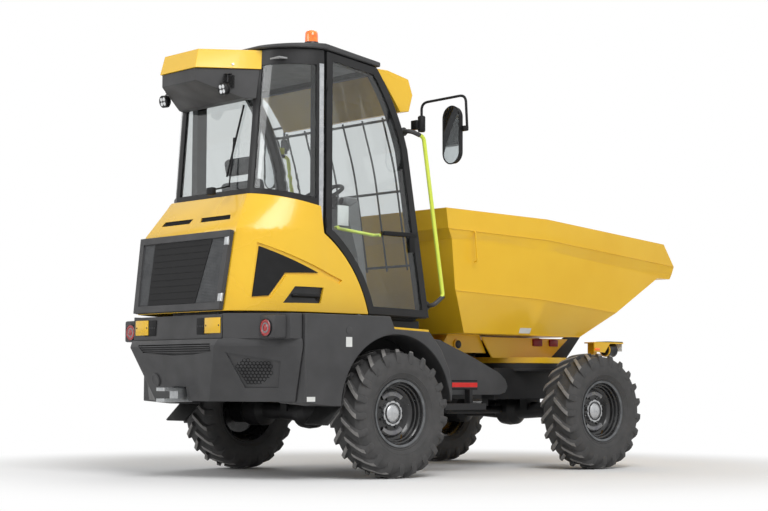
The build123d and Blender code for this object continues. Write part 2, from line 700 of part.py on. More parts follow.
with BuildPart() as mud_flaps:
    for side in (1, -1):
        y = max(side * (fender_inner + 28), side * (fender_half - 10))
        flap = [(-442, 620), (-430, 620), (-462, 474), (-580, 350), (-592, 358), (-475, 474)]
        flap = outline(side_plane(y), *[(rear_axle_x + x, z) for x, z in flap])
        extrude(flap, amount=fender_half - fender_inner - 38)
save(mud_flaps, "mud_flaps")

# ---------- chassis side plates and steps ----------
plate_y = 500
with BuildPart() as side_plates:
    for side in (1, -1):
        y = max(side * plate_y, side * (plate_y + 26))
        blade = outline(side_plane(y), (-640, 540), (340, 540), (400, 556), (422, 600), (400, 650), (330, 700),
                        (60, 810), (-260, 925), (-640, 960))
        extrude(blade, amount=26)
        with Locations((-300, side * (rail_outer + plate_y) / 2, 700)):
            Box(40, plate_y - rail_outer, 60)
save(side_plates, "side_plates")

with BuildPart() as steps:
    for side in (1, -1):
        with Locations((-150, side * 610, 458)):
            Box(400, 130, 44)
        for x in (-300, 0):
            with Locations((x, side * 551, 528)):
                Box(30, 50, 100)
save(steps, "steps")


def tube(radius, bend, *points):
    """Round tube along straight runs joined by arcs."""
    with BuildPart() as solid:
        with BuildLine() as path:
            FilletPolyline(*points, radius=bend)
        with BuildSketch(Plane(path.line @ 0, z_dir=path.line % 0)):
            Circle(radius)
        sweep()
    return solid.part


rails, mirror_tubes = [], []
for side in (1, -1):
    rails.append(tube(14, 40, (-526, side * 655, 1150), (-526, side * 742, 1150), (-438, side * 742, 1215),
                      (-622, side * 742, 2300), (-742, side * 742, 2330), (-742, side * 655, 2332)))
    mirror_tubes.append(tube(9, 50, (-640, side * 750, 2410), (-600, side * 790, 2520), (-560, side * 1020, 2590),
                             (-530, side * 1030, 2400)))
with BuildPart() as handrails:
    add(rails)
    for side in (1, -1):
        with Locations((-540, side * 654, 1150), (-765, side * 654, 2332)):
            Box(50, 36, 44)
    add(cab_frame.part, mode=Mode.SUBTRACT)
save(handrails, "handrails")
with BuildPart() as mirrors:
    add(mirror_tubes)
    for side in (1, -1):
        with Locations((-660, side * 752, 2400)):
            Box(60, 50, 110)
        with Locations((-525, side * 1030, 2270)):
            Box(60, 150, 320)
save(mirrors, "mirrors")
print("outside fittings done")

# ---------- roof fittings ----------
with BuildPart() as visor:
    cap = outline(side_plane(0), (-1000, 2744), (-863, 2746), (-670, 2706), (-630, 2600), (-664, 2482),
                  (-745, 2470), (-800, 2545), (-890, 2660), (-1000, 2744 - 8))
    extrude(cap, amount=640, both=True)
save(visor, "front_visor")


def ac_plan(z, rear_x, rear_half, front_half):
    return outline(Plane.XY.offset(z), (rear_x, -rear_half), (rear_x, rear_half), (-1760, front_half),
                   (-1760, -front_half))


with BuildPart() as ac_cover:
    loft([ac_plan(2664, -2149, 200, 450), ac_plan(2790, -2118, 190, 440)], ruled=True)
    add(rear_outer, mode=Mode.SUBTRACT)
save(ac_cover, "ac_cover")
with BuildPart() as ac_housing:
    extrude(ac_plan(2440, -2138, 190, 440), amount=223)
    extrude(outline(side_plane(0), (-2150, 2700), (-2150, 2584), (-1880, 2470), (-1700, 2470), (-1700, 2700)),
            amount=1000, both=True, mode=Mode.INTERSECT)
    add(rear_outer, mode=Mode.SUBTRACT)
save(ac_housing, "ac_housing")

with BuildPart() as work_lamps:
    for side in (1, -1):
        with Locations((-2010, side * 336, 2524)):
            Cylinder(42, 48, rotation=(0, 90, 0))
        with Locations((-1990, side * 310, 2590)):
            Box(24, 84, 60)
    add(ac_housing.part, mode=Mode.SUBTRACT)
save(work_lamps, "work_lamps")

with BuildPart() as beacon:
    with Locations((-1501, -600, 2832)):
        Cylinder(52, 16, align=(Align.CENTER, Align.CENTER, Align.MIN))
        Cylinder(44, 104, align=(Align.CENTER, Align.CENTER, Align.MIN))
    add(roof.part, mode=Mode.SUBTRACT)
save(beacon, "beacon")

lamp_rear, lamp_front = 1322, 1660    # the headlamp brackets' reach, clear of the turning skip
lamp_y0, lamp_y1 = 446, 576
lamp_z0, lamp_z1 = 820, 940
lamp_x, lamp_z = 1560, 882
with BuildPart() as headlamps:
    for side in (1, -1):
        # foot and post on the front beam's side
        with Locations((front_front - plate, side * (front_half + lamp_y0 + 50) / 2, 665)):
            Box(2 * plate, lamp_y0 + 50 - front_half, 30)
        with Locations((front_front - plate, side * (lamp_y0 + 30), (650 + lamp_z1) / 2)):
            Box(2 * plate, 60, lamp_z1 - 650)
        shelf = outline(Plane.XY.offset(lamp_z1 - 10), (lamp_rear + 30, side * lamp_y0), (lamp_rear, side * lamp_y1),
                        (lamp_front, side * lamp_y1), (lamp_front, side * lamp_y0))
        extrude(shelf, amount=10)
        cheek = outline(side_plane(side * (lamp_y1 - 5) + 5), (lamp_rear, lamp_z1), (lamp_rear - 2, lamp_z0 + 46),
                        (lamp_rear + 120, lamp_z0 + 40), (lamp_rear + 190, lamp_z1))
        extrude(cheek, amount=10)
        with Locations((lamp_x, side * (lamp_y0 + lamp_y1) / 2, lamp_z)):
            Cylinder(52, 90, rotation=(0, 90, 0))
save(headlamps, "headlamps")

diff_radius = 118
with BuildPart() as driveline:
    with Locations((-580, 0, 545)):
        Box(360, 280, 330)
    shaft_from, shaft_to = rear_axle_x + diff_radius + 1, articulation_x - 45
    with Locations(((shaft_from + shaft_to) / 2, 0, axle_z)):
        Cylinder(28, shaft_to - shaft_from, rotation=(0, 90, 0))
save(driveline, "rear_driveline")
with BuildPart() as front_shaft:
    shaft_from, shaft_to = articulation_x + 10, front_axle_x - diff_radius - 1
    with Locations(((shaft_from + shaft_to) / 2, 0, axle_z)):
        Cylinder(28, shaft_to - shaft_from, rotation=(0, 90, 0))
save(front_shaft, "front_driveline")
print("all done")
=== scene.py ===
import json
import math
import bmesh
import bpy
from mathutils import Matrix, Vector
from mathutils.bvhtree import BVHTree


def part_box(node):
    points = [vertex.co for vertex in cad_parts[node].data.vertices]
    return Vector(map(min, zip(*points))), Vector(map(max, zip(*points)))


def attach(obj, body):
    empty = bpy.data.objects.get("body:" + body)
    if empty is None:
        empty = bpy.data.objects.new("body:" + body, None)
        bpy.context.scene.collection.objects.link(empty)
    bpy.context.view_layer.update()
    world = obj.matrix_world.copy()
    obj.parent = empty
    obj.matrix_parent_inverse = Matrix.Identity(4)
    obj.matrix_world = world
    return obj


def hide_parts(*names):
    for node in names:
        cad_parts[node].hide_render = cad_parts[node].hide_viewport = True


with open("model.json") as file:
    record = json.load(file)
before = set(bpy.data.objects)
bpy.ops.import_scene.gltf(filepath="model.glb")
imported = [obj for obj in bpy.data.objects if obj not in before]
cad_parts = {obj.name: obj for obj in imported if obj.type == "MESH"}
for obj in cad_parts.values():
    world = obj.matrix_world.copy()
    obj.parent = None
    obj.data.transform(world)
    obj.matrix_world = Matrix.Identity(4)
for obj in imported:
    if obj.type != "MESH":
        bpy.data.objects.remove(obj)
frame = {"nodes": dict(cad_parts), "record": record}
nodes = frame["nodes"]
bodyOf = {node: body for body, members in frame["record"]["behaviour"]["bodies"].items()
    for node in members}
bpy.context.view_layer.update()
print("frame loaded,", len(nodes), "nodes")


# colours and nodes

def toLinear(hexCode):
    # sRGB to the linear values that shaders take
    values = [int(hexCode[i:i + 2], 16) / 255 for i in (0, 2, 4)]
    return [v / 12.92 if v <= 0.04045 else ((v + 0.055) / 1.055) ** 2.4 for v in values] + [1.0]


def addNode(tree, kind, settings=None, links=None):
    node = tree.nodes.new(kind)
    for name, value in (settings or {}).items():
        if isinstance(name, str) and hasattr(node, name):
            setattr(node, name, value)
        else:
            node.inputs[name].default_value = value
    for name, source in (links or {}).items():
        tree.links.new(source, node.inputs[name])
    return node


def emptyMaterial(name):
    material = bpy.data.materials.new(name)
    material.use_nodes = True
    material.node_tree.nodes.clear()
    return material, material.node_tree


def perMetre(millimetres):
    return 1000.0 / millimetres


noiseRange = {"From Min": 0.3, "From Max": 0.7}
# strength of the painted glow: emission that stands in for light shining through a lens
coatRoughness, glowStrength = 0.08, 0.35


def makeFinish(name, finish):
    # a real finish: its colour drifts over patchMm, its gloss with it, and its grain is grainMm wide
    material, tree = emptyMaterial(name)
    where = addNode(tree, "ShaderNodeTexCoord").outputs["Object"]
    patches = addNode(tree, "ShaderNodeTexNoise",
        {"Scale": perMetre(finish["patchMm"]), "Detail": 3.0}, {"Vector": where})
    tint = addNode(tree, "ShaderNodeMapRange", {**noiseRange, "To Min": 0.0, "To Max": 1.0},
        {"Value": patches.outputs["Fac"]})
    colour = addNode(tree, "ShaderNodeMix", {"data_type": "RGBA", 6: toLinear(finish["colour"]),
        7: toLinear(finish["drift"])}, {0: tint.outputs["Result"]})
    gloss = addNode(tree, "ShaderNodeMapRange", {**noiseRange, "To Min": finish["roughness"][0],
        "To Max": finish["roughness"][1]}, {"Value": patches.outputs["Fac"]})
    grain = addNode(tree, "ShaderNodeTexNoise",
        {"Scale": perMetre(finish["grainMm"]), "Detail": 2.0}, {"Vector": where})
    relief = addNode(tree, "ShaderNodeBump",
        {"Strength": finish["relief"], "Distance": finish["grainMm"] / 4000},
        {"Height": grain.outputs["Fac"]})
    shader = addNode(tree, "ShaderNodeBsdfPrincipled", {"Metallic": finish.get("metallic", 0.0),
        "Coat Weight": finish.get("coat", 0.0), "Coat Roughness": coatRoughness},
        {"Base Color": colour.outputs[2], "Roughness": gloss.outputs["Result"],
        "Normal": relief.outputs["Normal"]})
    if "ior" in finish:
        shader.inputs["IOR"].default_value = finish["ior"]
    if "shine" in finish:
        shader.inputs["Specular IOR Level"].default_value = finish["shine"]
    # a painted glow: emission standing in for light that shines through the part
    if "glow" in finish:
        shader.inputs["Emission Color"].default_value = toLinear(finish["glow"])
        shader.inputs["Emission Strength"].default_value = glowStrength
    addNode(tree, "ShaderNodeOutputMaterial", {}, {"Surface": shader.outputs["BSDF"]})
    return material


def look(colour, drift, patchMm, grainMm, roughness, relief, **extras):
    return {"colour": colour, "drift": drift, "patchMm": patchMm, "grainMm": grainMm,
        "roughness": roughness, "relief": relief, **extras}


finishes = {
    # two-pack enamel sprayed on folded steel: even yellow, soft gloss, faint orange peel
    "yellowEnamel": look("F4C326", "EFBB1C", 420, 6, (0.34, 0.42), 0.05, coat=0.25, ior=1.5),
    # enamelled glass-fibre mouldings: the same yellow, glossier and smoother than the steel
    "yellowMoulding": look("F2C32C", "EDBB22", 500, 9, (0.24, 0.3), 0.03, coat=0.28, ior=1.5),
    # textured polyethylene: charcoal, its fine moulded grain scatters the light
    "charcoalPlastic": look("454546", "3C3C3D", 160, 2.4, (0.42, 0.54), 0.25, ior=1.5, shine=0.35),
    # powder coat on steel tube and plate: black, satin, slightly pebbled
    "blackPowderCoat": look("1D1D1E", "262627", 120, 3, (0.36, 0.5), 0.12, ior=1.5, shine=0.32),
    # moulded rubber and nylon trim: deep black and dull
    "nylonTrim": look("171718", "1F1F20", 60, 1.6, (0.5, 0.62), 0.2, ior=1.5, shine=0.2),
    # vulcanised rubber: dark grey, matt, dusty where it flexes
    "tyreRubber": look("434343", "525151", 70, 3, (0.6, 0.78), 0.25, ior=1.52, shine=0.25),
    # enamelled pressed steel wheel: near black with a wet edge
    "wheelEnamel": look("161617", "202021", 90, 7, (0.22, 0.34), 0.06, coat=0.3, ior=1.5),
    # cast iron in grey primer: pale, rough, uneven
    "castPrimer": look("8C8C8A", "75757A", 45, 3, (0.4, 0.56), 0.35, metallic=0.5),
    # high-visibility enamel on the grab rails: acid green-yellow, slightly glossy
    "limeEnamel": look("E2F25E", "D9EC4C", 140, 5, (0.3, 0.4), 0.04, ior=1.5),
    # moulded ABS of the dash: mid grey with a leathery grain
    "greyAbs": look("8B8C8D", "7F8081", 120, 2, (0.45, 0.58), 0.25, ior=1.5),
    # amber polycarbonate lens: clear orange, with a painted glow that stands in for light shining
    # through it
    "amberLens": look("E8590C", "F58A1F", 30, 8, (0.1, 0.18), 0.2, coat=0.5, ior=1.58, glow="FF6A10"),
    # die-cast lamp bodies in black anodised aluminium: fine and satin
    "lampBlack": look("131314", "1C1C1E", 40, 2, (0.3, 0.42), 0.1, ior=1.5),
    # hard-chromed ram rod: bright and almost without grain
    "hardChrome": look("D9DBDD", "C8CACC", 60, 4, (0.08, 0.16), 0.03, metallic=1.0),
    # reinforced rubber sheet: black-grey, dull, fabric just showing
    "flapRubber": look("2A2A2A", "353535", 50, 2.2, (0.66, 0.8), 0.3, ior=1.52, shine=0.25),
    # zinc-plated steel of the tow jaw: pale silver with a satin bloom
    "zincPlate": look("C9CBCC", "AEB1B3", 26, 2.5, (0.28, 0.42), 0.15, metallic=0.9),
    # red polycarbonate: tail lamps and reflectors
    "redLens": look("B3161C", "8E1016", 18, 6, (0.14, 0.22), 0.2, coat=0.5, ior=1.58),
    # anodised aluminium strip on the door post: silver, drawn along its length
    "anodisedStrip": look("C6C8CA", "AEB1B4", 40, 1.6, (0.24, 0.34), 0.1, metallic=1.0),
    # white vinyl plate with nothing on it
    "plateVinyl": look("E4E5E2", "D8D9D6", 60, 4, (0.35, 0.45), 0.04, ior=1.5),
    # the lugs' crowns, painted pale as a highlight where the tread tops catch the light, and smoother
    "crownHighlightRubber": look("8A8886", "757371", 40, 3, (0.45, 0.6), 0.2, ior=1.52),
    # rim edge where the enamel has worn to satin steel
    "bareFlange": look("77797B", "5F6163", 50, 3, (0.28, 0.4), 0.1, metallic=0.8),
    # machined hub cap and bolt ring: bright, turned, satin
    "hubSilver": look("C9CACB", "B2B4B6", 30, 2.5, (0.26, 0.36), 0.12, metallic=0.85),
    # turned brass of the tyre valve
    "valveBrass": look("C79A45", "A97E33", 12, 2, (0.25, 0.35), 0.05, metallic=1.0),
    # clear diodes behind a polycarbonate face: milky white
    "ledWhite": look("EDEFF0", "DDE0E2", 8, 3, (0.12, 0.2), 0.1, coat=0.5, ior=1.58),
    # silvered mirror face
    "mirrorSilver": look("E8EAEB", "DFE2E4", 200, 9, (0.02, 0.04), 0.0, metallic=1.0),
    # reflective vinyl tape, red
    "redTape": look("E5231B", "D51E18", 60, 4, (0.3, 0.4), 0.05, ior=1.5),
    # dark red enamel of the blocks under the skip floor
    "redEnamel": look("8E1224", "7A0F1E", 60, 5, (0.35, 0.45), 0.1, ior=1.5),
    # woven steel mesh, painted grey
    "meshWire": look("5B5D5F", "4B4D4F", 60, 3, (0.4, 0.5), 0.1, metallic=0.4),
    # foam-backed vinyl of the cab's roof lining: warm light grey, dull
    "roofLining": look("9A9B9C", "8C8D8E", 90, 2.5, (0.7, 0.82), 0.3, ior=1.45),
    # polyester seat cloth: charcoal, soft, with a woven tooth
    "seatCloth": look("3B3C3E", "2F3032", 35, 2.2, (0.8, 0.92), 0.6, ior=1.45),
}
paints = {name: makeFinish(name, finish) for name, finish in finishes.items()}


def makeGlass(name, tint):
    # toughened safety glass, lightly tinted: clear, sharply reflecting, and it lets lamplight through
    material, tree = emptyMaterial(name)
    pane = addNode(tree, "ShaderNodeBsdfPrincipled",
        {"Base Color": toLinear(tint), "Roughness": 0.02, "IOR": 1.45, "Transmission Weight": 1.0})
    through = addNode(tree, "ShaderNodeBsdfTransparent", {"Color": toLinear(tint)})
    path = addNode(tree, "ShaderNodeLightPath")
    both = addNode(tree, "ShaderNodeMixShader", {},
        {0: path.outputs["Is Shadow Ray"], 1: pane.outputs["BSDF"], 2: through.outputs["BSDF"]})
    addNode(tree, "ShaderNodeOutputMaterial", {}, {"Surface": both.outputs["Shader"]})
    return material


paints["tintedGlass"] = makeGlass("tintedGlass", "E3E6E6")
slotPaint = {"yellow_paint": "yellowEnamel", "yellow_plastic": "yellowMoulding",
    "dark_plastic": "charcoalPlastic", "black_paint": "blackPowderCoat",
    "black_trim": "nylonTrim", "tyre_rubber": "tyreRubber", "rim_paint": "wheelEnamel",
    "cast_hub": "castPrimer", "tinted_glass": "tintedGlass", "lime_paint": "limeEnamel",
    "cab_grey": "greyAbs", "seat_fabric": "seatCloth", "amber_lens": "amberLens",
    "lamp_black": "lampBlack", "rod_chrome": "hardChrome", "flap_rubber": "flapRubber",
    "hitch_steel": "zincPlate",
}
paintSlot = {paint: slot for slot, paint in slotPaint.items()}
paintSlot.update({"anodisedStrip": "hitch_steel", "plateVinyl": "cab_grey", "hubSilver": "cast_hub",
    "mirrorSilver": "rod_chrome", "redTape": "amber_lens", "redLens": "amber_lens",
    "redEnamel": "amber_lens", "meshWire": "black_paint", "ledWhite": "cab_grey",
    "roofLining": "cab_grey"})
cadSlot = {}
for nodeName, nodeObject in nodes.items():
    for holder in nodeObject.material_slots:
        cadSlot[nodeName] = holder.material.name
        holder.material = paints[slotPaint[holder.material.name]]
print("finishes made:", len(paints))


# pieces

shift = Matrix.Translation
weldGap, foldGap = 0.00001, 0.00002


def newObject(name, data):
    made = bpy.data.objects.new(name, data)
    bpy.context.scene.collection.objects.link(made)
    return made


def addPiece(name, mesh, body, paint, replaced=()):
    piece = newObject(name, mesh)
    for each in [paint] if isinstance(paint, str) else paint:
        mesh.materials.append(paints[each])
    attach(piece, body)
    if replaced:
        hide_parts(*replaced)
    return piece


def toMesh(form, name, smoothAngle=40):
    bmesh.ops.recalc_face_normals(form, faces=form.faces)
    mesh = bpy.data.meshes.new(name)
    form.to_mesh(mesh)
    form.free()
    for polygon in mesh.polygons:
        polygon.use_smooth = True
    mesh.set_sharp_from_angle(angle=math.radians(smoothAngle))
    return mesh


def applyModifiers(piece):
    graph = bpy.context.evaluated_depsgraph_get()
    mesh = bpy.data.meshes.new_from_object(piece.evaluated_get(graph))
    piece.modifiers.clear()
    piece.data = mesh
    return piece


def eased(nodeName, radiusMm, angle=30, segments=2):
    # the node's own shape with its sharp edges broken, as folding, casting and paint leave them
    form = bmesh.new()
    form.from_mesh(nodes[nodeName].data)
    bmesh.ops.remove_doubles(form, verts=form.verts, dist=foldGap)
    bmesh.ops.dissolve_limit(form, angle_limit=math.radians(0.15), verts=form.verts, edges=form.edges)
    mesh = toMesh(form, nodeName + ".eased")
    piece = addPiece(nodeName + ".eased", mesh, bodyOf[nodeName],
        slotPaint[cadSlot[nodeName]], [nodeName])
    bevel = piece.modifiers.new("ease", "BEVEL")
    bevel.width = radiusMm / 1000
    bevel.segments = segments
    bevel.limit_method = "ANGLE"
    bevel.angle_limit = math.radians(angle)
    bevel.use_clamp_overlap = True
    bevel.miter_outer = "MITER_ARC"
    bevel.harden_normals = True
    weigh = piece.modifiers.new("flatFaces", "WEIGHTED_NORMAL")
    weigh.keep_sharp = True
    return applyModifiers(piece)


easedNodes = {"skip": 4, "bonnet": 6, "bumper": 6, "rear_panel": 4, "side_plates": 2,
    "fender_right": 8, "fender_left": 8, "cab_roof": 8, "ac_cover": 8,
    "ac_housing": 8, "front_visor": 6, "grille_door": 3, "turntable": 3,
    "rear_frame": 3, "front_frame": 3, "tip_arms": 3, "steps": 2, "headlamps": 2,
    "tow_hitch": 3, "cab_base": 4, "mud_flaps": 2, "slew_ring": 2}
for nodeName, radiusMm in easedNodes.items():
    eased(nodeName, radiusMm)
print("edges eased:", len(easedNodes))


# small shape makers: each adds to a bmesh, in metres, and marks its faces with a material slot

def facing(point, direction):
    # a frame whose Z runs along direction from point
    turn = Vector(direction).to_track_quat("Z", "Y").to_matrix().to_4x4()
    return shift(point) @ turn


def skin(form, rings, slot=0, ends=False, closed=True):
    # joins rings of points, each with as many points, and may close both ends
    made = [[form.verts.new(point) for point in ring] for ring in rings]
    count = len(made[0])
    for low, high in zip(made, made[1:]):
        for i in range(count if closed else count - 1):
            j = (i + 1) % count
            form.faces.new((low[i], low[j], high[j], high[i])).material_index = slot
    if ends:
        form.faces.new(made[0]).material_index = slot
        form.faces.new(made[-1][::-1]).material_index = slot


def lathe(form, place, profile, turns=48, slot=0, span=(0, 360), ripple=0.0, close=False):
    # spins (along, radius) points about the frame's Z, with a ripple for ribs
    start, stop = (math.radians(v) for v in span)
    full = span[1] - span[0] >= 360
    outline = list(profile) + (list(profile)[:1] if close else [])
    rings = []
    for n in range(turns if full else turns + 1):
        angle = start + (stop - start) * n / turns
        swell = ripple * (n % 2)
        rings.append([place @ Vector(((r - swell) * math.cos(angle), (r - swell) * math.sin(angle),
            along)) for along, r in outline])
    if full:
        rings.append(rings[0])
    skin(form, rings, slot, closed=False)
    if not full and close:
        for ring in (rings[0], rings[-1]):
            form.faces.new([form.verts.new(p) for p in ring[:-1]]).material_index = slot
    bmesh.ops.remove_doubles(form, verts=form.verts, dist=weldGap)


def block(form, place, size, ease=0.002, slot=0):
    # a box with eased edges, its middle at a point or at a frame's origin
    place = place if isinstance(place, Matrix) else shift(place)
    before = set(form.faces)
    made = bmesh.ops.create_cube(form, size=1, matrix=place @ Matrix.Diagonal((*size, 1)))
    edges = {edge for vert in made["verts"] for edge in vert.link_edges}
    bmesh.ops.bevel(form, geom=list(edges), offset=ease, segments=2, affect="EDGES", profile=0.5)
    for face in set(form.faces) - before:
        face.material_index = slot


def slab(form, corners, thickness, slot=0):
    # a flat outline given a thickness along a vector
    lift = Vector(thickness)
    skin(form, [[Vector(c) for c in corners], [Vector(c) + lift for c in corners]], slot, ends=True)


def rod(form, points, radius, sides=12, slot=0, ends=True):
    # a round bar through points, mitred where it bends
    points = [Vector(p) for p in points]
    heading = (points[1] - points[0]).normalized()
    side = heading.orthogonal().normalized()
    rings = []
    for n, point in enumerate(points):
        before = (point - points[n - 1]).normalized() if n else heading
        after = (points[n + 1] - point).normalized() if n < len(points) - 1 else before
        mean = (before + after).normalized()
        side = (side - mean * side.dot(mean)).normalized()
        other = mean.cross(side)
        stretch = 1 / max(0.5, mean.dot(before))
        rings.append([point + (side * math.cos(a) + other * math.sin(a) * stretch) * radius
            for a in (2 * math.pi * k / sides for k in range(sides))])
    skin(form, rings, slot, ends=ends)


def finishPiece(form, name, nodeName, paint, replaced=(), smoothAngle=40):
    # rides on the body of the node that it dresses
    return addPiece(name, toMesh(form, name, smoothAngle), bodyOf[nodeName], paint, replaced)


# wheels

tyre = {"radius": 0.4225, "lugs": 21, "sweepDeg": 40, "steps": 96,
    "innerWidth": 0.029, "outerWidth": 0.043, "footing": 0.007, "chamfer": 0.003,
    "sweepEnd": 0.132, "tipTaper": 0.7, "crownBand": 0.03, "crownFlat": 0.6, "smoothDeg": 32}
casingSide = [  # radius, distance from the tyre's middle: bead, sidewall, shoulder, crown
    (0.214, 0.1), (0.222, 0.106), (0.232, 0.112), (0.236, 0.1175), (0.24, 0.1155),
    (0.262, 0.131), (0.2655, 0.1335), (0.269, 0.1325), (0.29, 0.139), (0.318, 0.1415),
    (0.345, 0.139), (0.365, 0.132), (0.382, 0.12), (0.3945, 0.104), (0.3965, 0.07), (0.3975, 0.0)]
lugStations = [  # top: distance out, drop below the tread; foot: distance out, radius
    (0.006, 0.0, 0.006, 0.388), (0.04, 0.001, 0.04, 0.388), (0.08, 0.003, 0.08, 0.386),
    (0.113, 0.007, 0.108, 0.38), (0.132, 0.018, 0.122, 0.366), (0.1415, 0.04, 0.131, 0.345),
    (0.1445, 0.068, 0.134, 0.33), (0.1435, 0.094, 0.136, 0.32)]


def makeTyre():
    form = bmesh.new()
    profile = [(-y, r) for r, y in casingSide] + [(y, r) for r, y in casingSide[-2::-1]]
    lathe(form, facing((0, 0, 0), (0, 1, 0)), profile, tyre["steps"])
    pitch = 2 * math.pi / tyre["lugs"]
    slope = math.tan(math.radians(tyre["sweepDeg"]))
    for side in (-1, 1):
        for n in range(tyre["lugs"]):
            start = math.pi + pitch * (n + (0.5 if side > 0 else 0))
            rings = []
            for k, (y, drop, footY, footR) in enumerate(lugStations):
                top = tyre["radius"] - drop
                angle = start - (min(y, tyre["sweepEnd"]) * slope) / tyre["radius"]
                share = k / (len(lugStations) - 1)
                half = (tyre["innerWidth"] * (1 - share) + tyre["outerWidth"] * share) / 2
                half = half if k < len(lugStations) - 1 else half * tyre["tipTaper"]
                outward = Vector((0, footY - y, footR - top)).normalized() * tyre["chamfer"]
                ring = []
                for across, down in ((-half - tyre["footing"], 2), (-half, 1),
                        (-half + tyre["chamfer"], 0), (half - tyre["chamfer"], 0),
                        (half, 1), (half + tyre["footing"], 2)):
                    if down == 2:
                        r, out = footR, footY
                    else:
                        r, out = top + outward.z * down, y + outward.y * down
                    turn = angle + across / r
                    ring.append(Vector((r * math.sin(turn), side * out, r * math.cos(turn))))
                rings.append(ring)
            before = set(form.faces)
            skin(form, rings, 0, ends=True)
            for face in set(form.faces) - before:
                face.normal_update()
                middle = face.calc_center_median()
                reach = math.hypot(middle.x, middle.z)
                # outward-facing lug faces at the crown take the pale rubber: a painted highlight on the
                # tread tops
                if reach > tyre["radius"] - tyre["crownBand"] and len(face.verts) == 4:
                    flat = abs(face.normal.dot(Vector((middle.x, 0, middle.z)).normalized()))
                    face.material_index = 1 if flat > tyre["crownFlat"] else 0
    return toMesh(form, "tyre", tyre["smoothDeg"])


rimFace = [  # outward of the wheel's middle, radius: outer flange, well, dish, hub seat
    (0.104, 0.2225), (0.1125, 0.2215), (0.113, 0.214), (0.109, 0.205), (0.1, 0.199),
    (0.086, 0.196), (0.08, 0.188), (0.06, 0.183), (0.056, 0.176), (0.036, 0.172),
    (0.03, 0.16), (0.02, 0.15), (0.016, 0.12), (0.018, 0.1), (0.018, 0.05)]
rimBack = [(0.0, 0.05), (0.0, 0.16), (-0.02, 0.184), (-0.09, 0.198), (-0.105, 0.21),
    (-0.1125, 0.2215), (-0.104, 0.2225)]
hub = {"ring": 0.084, "notch": 0.077, "notches": 10, "crescent": (0.112, 0.15), "bolts": 8,
    "boltCircle": 0.098, "firstBoltDeg": 22.5, "valveDeg": -70, "smoothDeg": 30}


def makeRim():
    # outward is +Z here
    form = bmesh.new()
    flat = facing((0, 0, 0), (0, 0, 1))
    lathe(form, flat, rimFace[3:] + rimBack + rimFace[:1], 72)
    lathe(form, flat, rimFace[:4], 72, slot=1)
    # hub ring with its bolt notches
    steps = hub["notches"] * 4
    face, back = 0.036, 0.016
    ring = []
    for n in range(steps):
        angle = 2 * math.pi * n / steps
        r = hub["notch"] if n % 4 == 0 else hub["ring"]
        ring.append((r * math.cos(angle), r * math.sin(angle)))
    inner = [(x * 0.7, y * 0.7) for x, y in ring]
    skin(form, [[Vector((x, y, back)) for x, y in ring], [Vector((x, y, face - 0.004)) for x, y in ring],
        [Vector((x * 0.97, y * 0.97, face)) for x, y in ring],
        [Vector((x, y, face)) for x, y in inner]], slot=2)
    lathe(form, flat, [(0.03, 0.07), (0.038, 0.068), (0.038, 0.06), (0.03, 0.06)], 40, slot=0,
        close=True)
    cap = [(0.03, 0.0585), (0.04, 0.0575), (0.046, 0.05), (0.05, 0.036), (0.052, 0.016),
        (0.0522, 0.0045), (0.047, 0.004), (0.047, 0.0)]
    lathe(form, flat, cap, 40, slot=2)
    for middle in (90, 270):
        inside, outside = hub["crescent"]
        lathe(form, flat, [(0.016, inside), (0.03, inside + 0.004), (0.033, outside - 0.01),
            (0.022, outside)], 16, slot=3, span=(middle - 40, middle + 40))
    for n in range(hub["bolts"]):
        angle = math.radians(hub["firstBoltDeg"] + 360 / hub["bolts"] * n)
        bolt = facing((hub["boltCircle"] * math.cos(angle), hub["boltCircle"] * math.sin(angle), back),
            (0, 0, 1))
        lathe(form, bolt, [(0.0, 0.009), (0.011, 0.009), (0.013, 0.007), (0.013, 0.0)], 6, slot=0)
    angle = math.radians(hub["valveDeg"])
    outward = Vector((math.cos(angle), math.sin(angle), 0))
    rod(form, [outward * 0.178 + Vector((0, 0, 0.045)), outward * 0.15 + Vector((0, 0, 0.062))],
        0.0045, 8, slot=4)
    return toMesh(form, "rim", hub["smoothDeg"])


tyreMesh, rimMesh = makeTyre(), makeRim()
# the second tyre material is the painted highlight on the lug crowns
for paint in ("tyreRubber", "crownHighlightRubber"):
    tyreMesh.materials.append(paints[paint])
for paint in ("wheelEnamel", "bareFlange", "hubSilver", "castPrimer", "valveBrass"):
    rimMesh.materials.append(paints[paint])
for corner in ("rear_right", "rear_left", "front_right", "front_left"):
    low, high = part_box("tyre_" + corner)
    middle = (low + high) / 2
    outward = 1 if middle.y > 0 else -1
    faced = shift(middle) @ Matrix.Rotation(math.radians(-90 * outward), 4, "X")
    for kind, mesh, place in (("tyre", tyreMesh, shift(middle)), ("rim", rimMesh, faced)):
        piece = newObject(kind + "." + corner, mesh)
        piece.matrix_world = place
        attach(piece, bodyOf[kind + "_" + corner])
        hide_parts(kind + "_" + corner)
print("wheels made")


# lamps

form = bmesh.new()
low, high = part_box("beacon")
middle = (low + high) / 2
stand = facing((middle.x, middle.y, low.z), (0, 0, 1))
lathe(form, stand, [(0.0, 0.0), (0.0, 0.052), (0.01, 0.052), (0.016, 0.047), (0.022, 0.0465),
    (0.022, 0.04)], 48, slot=0)
lathe(form, stand, [(0.02, 0.04), (0.02, 0.0435), (0.06, 0.0425), (0.084, 0.041),
    (0.094, 0.036), (0.1005, 0.024), (0.1035, 0.008), (0.1036, 0.0)], 64, slot=1, ripple=0.0012)
lathe(form, stand, [(0.022, 0.03), (0.08, 0.026), (0.086, 0.0)], 24, slot=2)
finishPiece(form, "beacon.lens", "beacon", ["lampBlack", "amberLens", "plateVinyl"], ["beacon"], 50)

